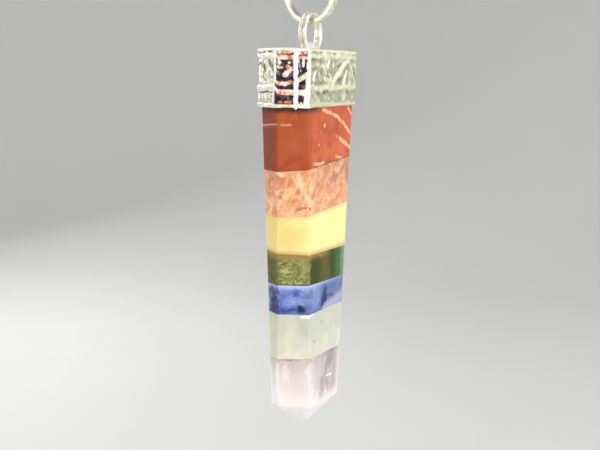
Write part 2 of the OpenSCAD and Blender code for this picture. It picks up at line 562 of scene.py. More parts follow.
    def strongest(self, *masks: Value) -> Socket:
        """The greatest of some masks."""
        return reduce(partial(self.calc, "MAXIMUM"), masks)

    def both(self, *masks: Value) -> Socket:
        """The product of some masks, which is strong only where all of them are."""
        return reduce(partial(self.calc, "MULTIPLY"), masks)

    def bump(self, height: Socket, depth: float) -> None:
        """Roughens the surface in its normals.

        Args:
            height: The pattern, from 0 to 1.
            depth: What its full range means, in millimetres.
        """
        inputs = {"Height": height, "Distance": depth * MM, "Strength": 1.0}
        self.shade({"Normal": self.add("Bump", inputs).outputs[0]})


@dataclass(frozen=True)
class StoneFinish:
    """What all ground and polished stones share; each kind adds its own colours."""

    name: str
    roughness: float = 0.3
    glow: float = 0.0
    glow_depth: float = 0.8
    glow_reach: float = 1.6
    glow_tint: Colour = (1.0, 0.92, 0.84)
    sheen: float = 0.4
    ior: float = 1.54
    grinding_depth: float = 0.012

    def colour(self, paint: Paint) -> Socket:
        """The stone's own colours.

        Args:
            paint: The material in making.

        Returns:
            The colour.
        """
        raise NotImplementedError

    def material(self) -> bpy.types.Material:
        """Builds the material: the stone's colours under a fine polish.

        Where the stone glows, light goes some way into it, though hardly beside the glue.

        Returns:
            The material.
        """
        paint = Paint(self.name)
        scuffs = paint.rise(paint.noise(paint.at, 2.0, 3.0, 0.6), 0.4, 0.8, 0.06)
        paint.shade({
            "Base Color": self.colour(paint),
            "Roughness": paint.calc("ADD", scuffs, self.roughness),
            "IOR": self.ior,
            "Specular IOR Level": self.sheen,
        })
        if self.glow > 0.0:
            inside = paint.rise(paint.mark("from_joint"), 0.0, self.glow_reach, self.glow)
            paint.shade({
                "Subsurface Weight": inside,
                "Subsurface Scale": self.glow_depth * MM,
                "Subsurface Radius": self.glow_tint,
            })
        grinding = paint.noise(paint.place(stretch=(1.0, 1.0, 5.0), turn=(0, 12, 0)), 2.5, 5.0, 0.6)
        paint.bump(grinding, self.grinding_depth)
        return paint.material


@dataclass(frozen=True)
class RedJasper(StoneFinish):
    """Opaque brick red, clouded darker, with cream healed cracks."""

    name: str = "red_jasper"
    roughness: float = 0.4
    sheen: float = 0.25
    brick: Colour = srgb(202, 92, 44)
    dark: Colour = srgb(180, 72, 36)
    light: Colour = srgb(214, 108, 62)
    cream: Colour = srgb(250, 190, 140)
    # Painted shade on the left bevels; the same dark red draws the dark line at the lower joint.
    shadow: Colour = srgb(112, 40, 22)
    # Painted shadow under the cap's rim.
    under_rim_shadow: Colour = srgb(44, 18, 14)

    def colour(self, paint: Paint) -> Socket:
        """Clouds of three reds, painted shade on the left rear and bevels; the cracks; painted shadow
        under the cap's rim.

        Args:
            paint: The material in making.

        Returns:
            The colour.
        """
        at = paint.at
        clouds = paint.noise(at, 0.45, 5.0, 0.62, 0.6)
        colour = paint.ramp(clouds, (0.32, self.dark), (0.5, self.brick), (0.72, self.light))
        # Painted shade: the left rear bevel is darker in specks, and both left bevels a little darker.
        rear_bevel = paint.along(paint.shaken(at, 2.0, 0.25), "Y", -0.3, 0.7)
        speckled = paint.rise(paint.noise(at, 3.0, 3.0, 0.7), 0.3, 0.66, 0.5)
        speckled = paint.calc("ADD", speckled, 0.3)
        shade = paint.both(rear_bevel, paint.along(at, "X", -4.6, -5.4), speckled)
        bevels = paint.along(at, "X", -4.3, -4.8, 0.3)
        ragged = paint.shaken(at, 1.1, 0.16)
        line, dot = partial(paint.stroke, ragged), partial(paint.spot, ragged)
        arc = ((-2.3, -2.77, -14.5), (1.2, -2.76, -15.3), (3.9, -2.74, -16.7), (5.3, -2.72, -17.7))
        lower = ((1.5, -2.72, -17.6), (3.1, -2.71, -18.3), (5.5, -2.7, -19.3))
        upper = ((4.1, -2.77, -14.5), (5.2, -2.75, -15.4))
        left = ((-5.8, 2.64, -16.1), (-7.27, 0.12, -15.94), (-6.6, -1.24, -15.97))
        rear = ((5.2, 2.7, -15.0), (2.0, 2.7, -17.2), (-1.5, 2.7, -17.8), (-4.0, 2.7, -19.6))
        cracks = paint.strongest(
            line(arc, 0.6),
            line(lower, 0.7),
            line(upper, 0.42),
            line(left, 0.3, 0.6),
            line(((-4.2, -2.7, -20.2), (-1.7, -2.7, -20.35)), 0.5),
            line(((1.4, -2.69, -19.9), (2.9, -2.69, -20.15)), 0.5),
            line(rear, 0.4),
            dot((-1.76, -2.74, -16.26), 0.34),
            dot((-3.0, -2.74, -18.2), 0.22),
        )
        broken = paint.rise(paint.noise(at, 1.6, 3.0, 0.6), 0.3, 0.52)
        # Painted shadow under the cap's rim, fading out across the front.
        under_rim = paint.along(ragged, "Z", -15.0, -14.4)
        off_front = paint.along(ragged, "X", -1.5, -4.5, 0.9)
        right = paint.along(ragged, "X", -4.6, -2.8)
        joint = paint.both(paint.near_joint(0.16, 0.9), right)
        return paint.coats(
            colour,
            (shade, self.shadow),
            (bevels, self.shadow),
            (paint.both(cracks, broken), self.cream),
            (paint.both(under_rim, off_front), self.under_rim_shadow),
            (joint, self.shadow),
        )


@dataclass(frozen=True)
class OrangeStone(StoneFinish):
    """Mottled peach and salmon, with upright fibres, cream patches, rusty veins and dark specks."""

    name: str = "orange_stone"
    roughness: float = 0.36
    sheen: float = 0.3
    glow: float = 0.6
    peach: Colour = srgb(246, 182, 134)
    salmon: Colour = srgb(226, 144, 104)
    cream: Colour = srgb(255, 222, 180)
    rust: Colour = srgb(232, 120, 68)
    lilac: Colour = srgb(178, 124, 104)
    speck: Colour = srgb(150, 100, 74)

    def colour(self, paint: Paint) -> Socket:
        """Soft mottles, painted shade on the front, lilac at both ends, cream patches, an orange vein
        and leaning specks.

        Args:
            paint: The material in making.

        Returns:
            The colour.
        """
        at = paint.at
        leaning = paint.place((0, 0, -23), (1.0, 1.0, 0.5), (0, 34, 0))
        mottles = paint.noise(leaning, 1.1, 5.0, 0.64, 0.6)
        mottles = paint.calc("ADD", mottles, paint.along(at, "Z", -21.5, -25.5, 0.1))
        colour = paint.ramp(mottles, (0.39, self.salmon), (0.55, self.peach), (0.73, self.cream))
        # Painted shade: the front is darker, in salmon.
        front = paint.along(at, "X", -4.4, -3.4, 0.38)
        upper = paint.along(at, "Z", -24.6, -21.6)
        right = paint.along(at, "X", -4.4, 1.0, 0.95)
        ends = paint.strongest(right, paint.along(at, "Y", -0.6, 0.9, 0.5))
        cool = paint.rise(paint.noise(leaning, 1.3, 4.0, 0.65), 0.4, 0.56)
        cool = paint.both(ends, upper, cool)
        ragged = paint.shaken(at, 1.7, 0.36)
        line, dot = partial(paint.stroke, ragged), partial(paint.spot, ragged)
        patches = paint.strongest(
            paint.rise(paint.noise(at, 0.9, 4.0, 0.65, 0.8), 0.54, 0.68, 0.6),
            line(((-7.2, 0.5, -21.1), (-6.6, -0.4, -21.2)), 0.5),
            line(((-6.5, -0.4, -23.5), (-6.2, -0.8, -23.5)), 0.45),
            line(((-5.8, -1.8, -21.4), (-5.7, -2.0, -22.5)), 1.0),
            line(((-5.2, -2.6, -23.6), (-4.8, -2.6, -24.1)), 1.0),
            dot((-6.9, 0.3, -23.2), 0.36),
        )
        low = paint.along(at, "Z", -23.4, -25.2)
        clouds = paint.both(low, paint.rise(paint.noise(at, 0.9, 3.0), 0.48, 0.62, 0.55))
        veins = paint.strongest(
            clouds,
            line(((-5.7, -1.6, -25.1), (-5.3, -2.3, -24.7), (-4.6, -2.6, -25.0)), 0.6),
            line(((0.3, -2.6, -25.1), (3.2, -2.6, -24.0)), 1.0, 0.6),
            dot((-6.7, 0.0, -23.6), 0.4, 0.6),
        )
        specks = paint.strongest(
            paint.rise(paint.noise(leaning, 1.6, 3.0, 0.6), 0.6, 0.72, 0.6),
            line(((-2.4, -2.7, -22.1), (-3.1, -2.7, -22.9)), 0.5),
            line(((-3.9, -2.6, -23.6), (-4.2, -2.6, -24.0)), 0.4),
            dot((-3.2, -2.6, -24.4), 0.34),
            dot((-5.8, -1.7, -23.1), 0.34),
            line(((-7.1, 0.4, -21.36), (-6.9, 0.1, -21.42)), 0.22),
        )
        return paint.coats(
            colour,
            (front, self.salmon),
            (cool, self.lilac),
            (paint.both(patches, 0.85), self.cream),
            (veins, self.rust),
            (paint.both(specks, 0.5), self.speck),
        )


@dataclass(frozen=True)
class YellowStone(StoneFinish):
    """Pale butter yellow, smooth and slightly translucent, with faint level bands."""

    name: str = "yellow_stone"
    glow: float = 0.7
    glow_depth: float = 1.5
    butter: Colour = srgb(255, 239, 166)
    pale: Colour = srgb(255, 245, 168)
    deep: Colour = srgb(255, 226, 144)
    hazed: Colour = srgb(210, 168, 92)
    warm: Colour = srgb(255, 214, 138)

    def colour(self, paint: Paint) -> Socket:
        """Painted shade deepens the left and painted light pales the front, in soft clouds; brownish at
        the lower joint.

        Args:
            paint: The material in making.

        Returns:
            The colour.
        """
        at = paint.at
        clouds = paint.noise(paint.place((0, 0, -28), (0.5, 0.5, 1.2)), 0.5, 3.0, 0.5, 0.4)
        # Painted shade deepens the left rear, and painted light pales the front.
        left = paint.along(at, "Y", -2.4, 1.0, 0.36)
        right = paint.along(at, "X", -5.6, -4.0, 0.26)
        value = paint.calc("ADD", clouds, paint.calc("SUBTRACT", right, left))
        colour = paint.ramp(value, (0.3, self.deep), (0.5, self.butter), (0.74, self.pale))
        low = paint.along(at, "Z", -28.0, -29.4, 0.75)
        beside = paint.rise(paint.calc("SUBTRACT", paint.mark("from_joint"), clouds), 0.2, -0.5)
        high = paint.along(at, "Z", -27.4, -26.0, 0.8)
        return paint.coats(
            colour,
            (paint.both(beside, low), self.hazed),
            (paint.both(beside, high), self.warm),
        )


@dataclass(frozen=True)
class GreenStone(StoneFinish):
    """Olive with gold flecks and a painted sheen on the left, dark and streaked ahead, a painted glow
    at the right edge.
    """

    name: str = "green_stone"
    sheen: float = 0.12
    olive: Colour = srgb(112, 114, 56)
    gold: Colour = srgb(212, 206, 140)
    honey: Colour = srgb(176, 140, 70)
    dark: Colour = srgb(60, 70, 18)
    brown: Colour = srgb(100, 94, 46)
    # Painted glow of light through the thin right edge, green fading to mist.
    edge_glow: Colour = srgb(66, 116, 64)
    mist: Colour = srgb(128, 166, 122)
    shade: Colour = srgb(60, 64, 48)

    def colour(self, paint: Paint) -> Socket:
        """Olive with gold flecks and painted sheen on the left, upright bands on the front ending in a
        painted glow at the right edge, honey at the upper joint.

        Args:
            paint: The material in making.

        Returns:
            The colour.
        """
        at = paint.at
        across = paint.axis(paint.shaken(at, 1.2, 0.8), "X")
        colour = paint.blend(paint.rise(across, -5.3, -3.6), self.olive, self.dark)
        upright = paint.place((0, 0, -32.5), (1.0, 1.0, 0.3), (0, 6, 0))
        streaks = paint.noise(upright, 1.2, 4.0, 0.6, 0.4)
        front = paint.along(at, "Y", -1.9, -2.4)
        darker = paint.both(front, paint.rise(streaks, 0.5, 0.66, 0.6))
        leaning = paint.place((0, 0, -32.5), (0.8, 0.8, 1.7), (0, -16, 0))
        flecks = paint.rise(paint.noise(leaning, 2.4, 5.0, 0.8, 0.6), 0.4, 0.72)
        ragged = paint.shaken(at, 2.2, 0.9)
        line, dot = partial(paint.stroke, ragged), partial(paint.spot, ragged)
        # Gold flecks, with painted sheen: a bright patch, a spot and a line on the left.
        flecks_and_sheen = paint.strongest(
            line(((-5.0, -2.1, -30.9), (-4.8, -2.3, -31.8)), 1.5, 0.4),
            dot((-5.9, -0.3, -31.8), 0.6, 0.7),
            line(((-6.4, 0.4, -33.1), (-4.5, -2.6, -33.4)), 0.6, 0.7),
            paint.both(flecks, paint.rise(across, -4.0, -5.2, 0.85)),
        )
        rear = paint.along(at, "Y", -0.1, 1.0, 0.7)
        high = paint.along(at, "Z", -32.0, -30.6, 0.75)
        off_right = paint.along(at, "X", 1.0, -2.0)
        beside = paint.rise(paint.calc("SUBTRACT", paint.mark("from_joint"), streaks), 0.45, -0.4)
        beside = paint.both(beside, high, off_right)
        low = paint.along(at, "Z", -32.6, -33.2)
        left = paint.both(low, paint.rise(across, -3.6, -4.8))
        joint = paint.both(paint.near_joint(0.2, 0.9), left)
        return paint.coats(
            colour,
            (paint.rise(across, -2.8, -1.0, 0.8), self.brown),
            (paint.rise(across, 0.0, 1.1), self.dark),
            # Painted glow of light through the thin right edge.
            (paint.rise(across, 1.3, 2.8), self.edge_glow),
            (paint.rise(across, 2.7, 4.2, 0.8), self.mist),
            (darker, self.dark),
            (flecks_and_sheen, self.gold),
            (rear, self.dark),
            (beside, self.honey),
            (joint, self.shade),
        )


@dataclass(frozen=True)
class BlueStone(StoneFinish):
    """Periwinkle blue with indigo clouds, black spots and white veins beside its joints."""

    name: str = "blue_stone"
    roughness: float = 0.32
    sheen: float = 0.3
    glow: float = 0.5
    glow_depth: float = 0.6
    periwinkle: Colour = srgb(132, 152, 216)
    pale: Colour = srgb(160, 176, 230)
    slate: Colour = srgb(100, 125, 166)
    deep: Colour = srgb(94, 118, 180)
    indigo: Colour = srgb(66, 84, 180)
    black: Colour = srgb(10, 18, 34)
    lilac: Colour = srgb(206, 200, 224)
    white: Colour = srgb(206, 220, 244)

    def colour(self, paint: Paint) -> Socket:
        """Clouds of blues, painted shade on the front, deeper downwards; stains and dark patches; a
        pale upper margin.

        Args:
            paint: The material in making.

        Returns:
            The colour.
        """
        at = paint.at
        clouds = paint.noise(at, 0.6, 5.0, 0.62, 0.3)
        colour = paint.ramp(clouds, (0.36, self.slate), (0.48, self.periwinkle), (0.62, self.pale))
        # Painted shade: the front is darker, in slate.
        front = paint.along(paint.shaken(at, 0.6, 0.8), "X", -4.4, -0.5, 0.8)
        ragged = paint.shaken(at, 1.9, 0.7)
        line, dot = partial(paint.stroke, ragged), partial(paint.spot, ragged)
        low = paint.along(ragged, "Z", -35.5, -36.9, 0.75)
        stained = paint.strongest(
            dot((-5.2, -1.2, -34.35), 0.7),
            line(((-5.9, -0.1, -34.5), (-5.2, -1.2, -34.3)), 1.5, 0.6),
            line(((-6.1, 0.5, -36.5), (-5.1, -1.1, -36.3)), 1.6, 0.8),
            line(((-6.6, 1.4, -34.2), (-6.4, 1.6, -36.4)), 3.2),
            line(((-0.6, -2.5, -34.7), (-0.8, -2.5, -36.4)), 2.6, 0.7),
            line(((0.4, -2.5, -34.9), (2.2, -2.5, -34.8)), 1.6, 0.4),
            line(((-3.4, -2.5, -36.5), (-2.6, -2.5, -37.0)), 0.5),
            dot((3.3, 2.1, -35.2), 1.5),
        )
        upper = paint.along(at, "Z", -34.6, -33.4)
        margin = paint.both(paint.near_joint(0.9), upper)
        soft = paint.shaken(at, 1.9, 0.35)
        veil = ((-0.6, -2.5, -37.2), (1.6, -2.5, -36.9), (4.2, -2.5, -36.6))
        lower = paint.stroke(soft, veil, 1.9, 0.62)
        dark = paint.strongest(
            paint.spot(soft, (-4.8, -1.7, -36.25), 0.7),
            paint.stroke(soft, ((-5.9, 0.1, -36.5), (-5.0, -1.3, -36.2)), 0.6, 0.5),
            line(((-0.7, -2.5, -35.1), (-0.5, -2.5, -35.7), (-1.0, -2.5, -36.3)), 1.6, 0.9),
            line(((-0.2, -2.5, -35.8), (1.5, -2.5, -35.8)), 0.8, 0.6),
            line(((-6.5, 1.5, -34.1), (-6.2, 1.4, -36.4)), 2.8),
            dot((3.3, 2.1, -35.2), 0.8),
            dot((-1.5, 2.1, -34.4), 0.7),
            paint.rise(paint.noise(at, 1.2, 3.0, 0.6, 0.5), 0.68, 0.78, 0.6),
        )
        return paint.coats(
            colour,
            (front, self.slate),
            (low, self.deep),
            (paint.both(stained, 0.9), self.indigo),
            (paint.both(margin, 0.8), self.white),
            (lower, self.lilac),
            (paint.both(dark, 0.95), self.black),
        )


@dataclass(frozen=True)
class WhiteStone(StoneFinish):
    """Milky cream with a green cast, faint clouds and a few grey specks."""

    name: str = "white_stone"
    glow: float = 0.5
    sheen: float = 0.2
    milk: Colour = srgb(221, 222, 205)
    cream: Colour = srgb(234, 231, 212)
    mist: Colour = srgb(207, 209, 194)
    speck: Colour = srgb(160, 164, 150)
    glare: Colour = srgb(255, 255, 255)

    def colour(self, paint: Paint) -> Socket:
        """Soft clouds of three whites, paler downwards, painted shade on the front and rear; two
        specks; a white chip at the top.

        Args:
            paint: The material in making.

        Returns:
            The colour.
        """
        at = paint.at
        clouds = paint.noise(at, 0.35, 4.0, 0.55, 0.8)
        down = paint.along(at, "Z", -37.0, -42.0, 0.43)
        # Painted shade darkens the front and, less, the rear.
        ahead = paint.along(at, "X", -5.4, -3.6, 0.34)
        behind = paint.along(at, "Y", -0.6, 0.4, 0.16)
        paler, darker = paint.calc("ADD", clouds, down), paint.calc("ADD", ahead, behind)
        value = paint.calc("SUBTRACT", paler, darker)
        colour = paint.ramp(value, (0.42, self.mist), (0.66, self.milk), (0.82, self.cream))
        ragged = paint.shaken(at, 2.5, 0.15)
        line, dot = partial(paint.stroke, ragged), partial(paint.spot, ragged)
        specks = paint.strongest(
            dot((-1.15, -2.44, -38.57), 0.3),
            dot((-3.05, -2.41, -40.38), 0.34),
        )
        chip = line(((-4.9, -1.7, -37.2), (-4.2, -2.4, -37.1), (-3.4, -2.5, -37.0)), 0.6)
        return paint.coats(
            colour,
            (paint.both(specks, 0.7), self.speck),
            (chip, self.glare),
        )


@dataclass(frozen=True)
class VioletStone(StoneFinish):
    """Very pale pinkish lavender, clearing to a painted glow at the tip, with cloudy growth lines
    inside.
    """

    name: str = "violet_stone"
    glow: float = 1.0
    glow_depth: float = 3.0
    sheen: float = 0.12
    pale: Colour = srgb(235, 225, 224)
    rose: Colour = srgb(221, 205, 198)
    grey: Colour = srgb(186, 173, 174)
    violet: Colour = srgb(158, 140, 150)
    # Pale smears, among them a painted glint and painted highlights along the left ridge.
    clear: Colour = srgb(255, 246, 240)
    brown: Colour = srgb(158, 132, 120)
    # The point's painted glow.
    tip: Colour = srgb(255, 239, 236)

    def colour(self, paint: Paint) -> Socket:
        """Paler downwards, with a painted glow at the tip; grey clouds on the right, deepened ahead as
        painted shade; a violet streak, pale smears with a painted glint and ridge highlights, brown
        marks.

        Args:
            paint: The material in making.

        Returns:
            The colour.
        """
        at = paint.at
        height = paint.axis(paint.shaken(at, 0.5, 0.8), "Z")
        colour = paint.blend(paint.rise(height, -42.2, -45.4), self.rose, self.pale)
        cloudy = paint.place((0, 0, -45), (1.0, 1.0, 0.5), (0, 20, 0))
        clouds = paint.noise(cloudy, 0.6, 4.0, 0.6, 0.9)
        right = paint.along(paint.shaken(at, 0.5, 0.6), "X", -5.2, 1.2)
        share = paint.both(right, paint.rise(clouds, 0.22, 0.56))
        off_edge = paint.along(paint.shaken(at, 0.9, 0.3), "X", 4.0, 2.2)
        off_tip = paint.both(paint.along(at, "Z", -49.2, -47.2), off_edge)
        # Painted shade: the grey clouds are stronger on the front.
        ahead = paint.calc("ADD", paint.along(at, "Y", 1.4, -0.6, 0.65), 0.35)
        share = paint.both(share, ahead, off_tip)
        ragged, soft = paint.shaken(at, 1.3, 0.8), paint.shaken(at, 1.3, 0.3)
        line = partial(paint.stroke, ragged)
        streak = line(((1.4, -2.4, -42.9), (0.8, -2.4, -44.4), (-0.2, -2.3, -46.2)), 3.0)
        broken = paint.rise(paint.noise(cloudy, 1.6, 5.0, 0.75), 0.36, 0.66, 0.8)
        streak = paint.both(streak, broken)
        corner = line(((0.7, -2.4, -42.8), (3.6, -2.4, -42.4)), 1.3)
        violet = paint.strongest(streak, paint.both(corner, 0.7))
        # Pale smears: the short level stroke low on the front is a painted glint, the two strips by the
        # left ridge painted highlights.
        smears = paint.strongest(
            paint.stroke(paint.shaken(at, 1.3, 0.1), ((0.5, -2.3, -45.75), (1.7, -2.3, -45.95)), 0.4),
            line(((1.5, -2.3, -45.4), (2.0, -2.3, -44.4)), 0.4, 0.45),
            paint.stroke(soft, ((-5.3, 0.0, -43.2), (-5.2, 0.0, -44.6)), 1.1, 0.5),
            paint.stroke(soft, ((-6.0, 0.9, -42.9), (-5.7, 1.1, -47.0)), 1.2, 0.8),
            line(((-3.9, -2.2, -42.6), (-3.9, -2.2, -45.0)), 0.6, 0.4),
        )
        upper = paint.along(at, "Z", -43.6, -42.6)
        marks = paint.strongest(
            paint.rise(paint.noise(at, 0.9, 3.0), 0.5, 0.62, 0.5),
            line(((-5.6, 0.5, -42.3), (-5.0, -0.4, -42.4)), 0.7),
            line(((-4.6, -1.3, -42.1), (-4.2, -1.9, -42.1)), 0.4),
        )
        beside = paint.both(upper, paint.near_joint(0.7, 0.8))
        marks = paint.both(marks, beside)
        return paint.coats(
            colour,
            # Painted glow towards the point.
            (paint.rise(height, -45.0, -48.4), self.tip),
            (share, self.grey),
            (violet, self.violet),
            (smears, self.clear),
            (marks, self.brown),
        )


@dataclass(frozen=True)
class Resin:
    """The glue that shows as a fine line between two stones, darker here and there."""

    name: str
    tone: Colour
    stain: Colour
    stained: Span = (-20.0, -10.0)
    roughness: float = 0.4
    grain_depth: float = 0.01

    def material(self) -> bpy.types.Material:
        """Builds the material: the tone, stained in patches where X passes through its range.

        Returns:
            The material.
        """
        paint = Paint(self.name)
        patches = paint.rise(paint.noise(paint.at, 0.8, 3.0), 0.36, 0.56)
        strength = paint.both(patches, paint.along(paint.at, "X", *self.stained))
        colour = paint.blend(strength, self.tone, self.stain)
        paint.shade({"Base Color": colour, "Roughness": self.roughness})
        paint.bump(paint.noise(paint.at, 6.0, 3.0), self.grain_depth)
        return paint.material


@dataclass(frozen=True)
class SilverPlate:
    """Silver plating: bright where it is raised or bent, partly as painted highlights, dull and warm in
    its recesses.
    """

    name: str
    bright: Colour = srgb(251, 251, 223)
    warm: Colour = srgb(229, 231, 195)
    dull: Colour = srgb(160, 162, 140)
    recess: Colour = srgb(84, 88, 70)
    # Rubbed strips on bends, seam, rims and raised parts, painted white as highlights.
    rub_highlight_white: Colour = srgb(255, 252, 246)
    # The worn side's dark ground: tarnish and a painted reflection of dark surroundings.
    tarnish_and_reflection: Colour = srgb(14, 10, 24)
    bloom_and_reflection: Colour = srgb(104, 94, 116)
    # Painted shade on the flanks of the worn side's strokes.
    flank_shade: Colour = srgb(120, 40, 44)
    # Coppery tints by paleness; the palest are partly painted highlights.
    wine: Colour = srgb(206, 112, 108)
    copper: Colour = srgb(236, 152, 118)
    peach: Colour = srgb(255, 206, 170)
    rosy: Colour = srgb(255, 240, 232)
    # The pinkish grey of the ring's inner face.
    rubbed: Colour = srgb(206, 180, 168)
    roughness: float = 0.3
    dent_depth: float = 0.012
    metal: float = 1.0
    stamped: bool = False

    def dress_sheet(self, paint: Paint, fine: Socket, smears: Socket) -> None:
        """Stamped sheet: dark in its recesses, with a coppery worn side whose dark ground is partly a
        painted reflection, and rubbed edges painted bright as highlights.

        Args:
            paint: The material in making.
            fine: Fine noise that ruffles the borders of the recesses.
            smears: Roughness of the plating.
        """
        relief = paint.calc("ADD", paint.mark("relief"), paint.rise(fine, 0.3, 0.7, 0.12))
        low = paint.rise(relief, 0.62, 0.05)
        pale, worn, rub_and_highlight = (paint.mark(name) for name in ("pale", "worn", "rub_and_highlight"))
        tints = ((0.0, self.wine), (0.22, self.copper), (0.5, self.peach), (0.85, self.rosy))
        # Painted shade darkens the flanks of the strokes.
        pink = paint.blend(paint.rise(relief, 0.7, 0.4, 0.75), paint.ramp(pale, *tints), self.flank_shade)
        clouds = paint.noise(paint.at, 1.6, 3.0, 0.6)
        # Tarnish and a painted reflection of dark surroundings, in the worn side's hollows.
        black = paint.ramp(clouds, (0.46, self.tarnish_and_reflection), (0.68, self.bloom_and_reflection))
        # Paler where the paleness mark is high, partly as painted highlights.
        colour = paint.coats(
            paint.blend(paint.rise(pale, 0.2, 0.9), self.warm, self.bright),
            (paint.both(low, 0.75), self.dull),
            (paint.rise(relief, 0.05, -0.2, 0.85), self.recess),
            (worn, paint.blend(paint.rise(relief, 0.45, 0.12), pink, black)),
            (rub_and_highlight, self.rub_highlight_white),
        )
        # Less metal where worn, rubbed or pale, so that the painted highlights read bright from every
        # side.
        soft = paint.strongest(
            paint.both(worn, 0.6),
            paint.both(rub_and_highlight, 0.85),
            paint.rise(pale, 0.5, 0.95, 0.5),
        )
        paint.shade({
            "Base Color": colour,
            "Metallic": paint.calc("SUBTRACT", self.metal, soft),
            "Roughness": paint.calc("ADD", smears, paint.both(low, 0.12)),
        })

    def dress_wire(self, paint: Paint, smears: Socket) -> None:
        """Wire and solder: clouded, with dull patches, and pinkish grey where the mesh marks the inner
        face.

        Args:
            paint: The material in making.
            smears: Roughness of the plating.
        """
        clouds = paint.noise(paint.at, 1.2, 4.0, 0.6, 0.5)
        patches = paint.rise(paint.noise(paint.at, 1.5, 4.0, 0.65, 0.5), 0.5, 0.66, 0.6)
        colour = paint.coats(
            paint.ramp(clouds, (0.4, self.warm), (0.58, self.bright)),
            (patches, self.dull),
            (paint.mark("inner"), self.rubbed),
        )
        paint.shade({"Base Color": colour, "Metallic": self.metal, "Roughness": smears})

    def material(self) -> bpy.types.Material:
        """Builds the material of stamped sheet or of wire, with its smears and fine dents.

        Returns:
            The material.
        """
        paint = Paint(self.name)
        fine = paint.noise(paint.at, 6.0, 4.0, 0.65)
        smears = paint.rise(paint.noise(paint.at, 3.0, 4.0, 0.7), 0.4, 0.75, 0.2)
        smears = paint.calc("ADD", smears, self.roughness)
        if self.stamped:
            self.dress_sheet(paint, fine, smears)
        else:
            self.dress_wire(paint, smears)
        paint.bump(fine, self.dent_depth)
        return paint.material


@dataclass(frozen=True)
class PaleSweep:
    """Plain pale floor, very faintly clouded."""

    name: str = "pale_floor"
    tone: Colour = (0.72, 0.72, 0.71)
    darker: float = 0.96
    roughness: float = 0.9

    def material(self) -> bpy.types.Material:
        """Builds the material: the tone and a slightly darker one, in very large clouds.

        Returns:
            The material.
        """
        paint = Paint(self.name)
        clouds = paint.noise(paint.at, 0.02, 3.0)
        shade = tuple(self.darker * part for part in self.tone)
        colour = paint.blend(clouds, self.tone, shade)
        paint.shade({"Base Color": colour, "Roughness": self.roughness})
        return paint.material


@dataclass
class JumpRing:
    """The ring of slightly flattened wire, with the fine line where its ends are pressed together."""

    wire_thick: float = 0.72
    wire_wide: float = 0.84
    squareness: float = 3.4
    cut_angle: float = 58.0
    cut_depth: float = 0.05
    cut_half_width: float = 0.035
    waver: Layers = ((0.012, 1.1, 3),)
    sunk: float = 0.006
    inner_tone_arc: Span = (-0.2, -0.7)
    inner_tone: float = 0.8
    steps_round: int = 560
    steps_section: int = 40
    finish: SilverPlate = SilverPlate("ring_silver", dull=srgb(170, 168, 148))

    def surface(self) -> Surface:
        """A rounded-square section carried round a circle, its last row joined to its first.

        The section is a superellipse: its two axes take the cosine and sine of the section's
        angle, each to the power of 2 over the squareness. Slow noise varies its size, and at
        the cut it shrinks within a narrow bell.

        Returns:
            The ring.
        """
        low, high = (np.array(corner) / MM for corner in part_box("jump_ring"))
        middle = (low + high) / 2.0
        radius = (high[2] - low[2] - self.wire_thick) / 2.0
        turn = full_turn(self.steps_round)[:, None]
        spin = full_turn(self.steps_section)[None, :]
        out, side = (
            size / 2.0 * np.sign(part) * np.abs(part) ** (2.0 / self.squareness)
            for size, part in ((self.wire_thick, np.cos(spin)), (self.wire_wide, np.sin(spin)))
        )
        from_cut = (turn - math.radians(90.0 + self.cut_angle)) * radius
        pinch = self.cut_depth * np.exp(-((from_cut / self.cut_half_width) ** 2))
        size = 1.0 - pinch / (self.wire_thick / 2.0)
        reach = radius + out * size
        points = np.stack([side * size, reach * np.cos(turn), reach * np.sin(turn)], axis=-1)
        waver = layered_noise(points, self.waver) - self.sunk
        points += grid_normals(points) * waver[..., None]
        inner = self.inner_tone * soft_step(*self.inner_tone_arc, np.cos(spin)) * np.ones_like(turn)
        index = np.arange(inner.size).reshape(inner.shape)
        quads = ring_faces(index, np.roll(index, -1, axis=0))
        return Surface((points + middle).reshape(-1, 3), quads, marks={"inner": inner.ravel()})

    def build(self) -> None:
        """Makes the ring in place of its CAD node."""
        made = make_object("jump_ring_wire", self.surface(), self.finish.material())
        finish_piece(made, Body.RING, "ring_wire", "jump_ring")


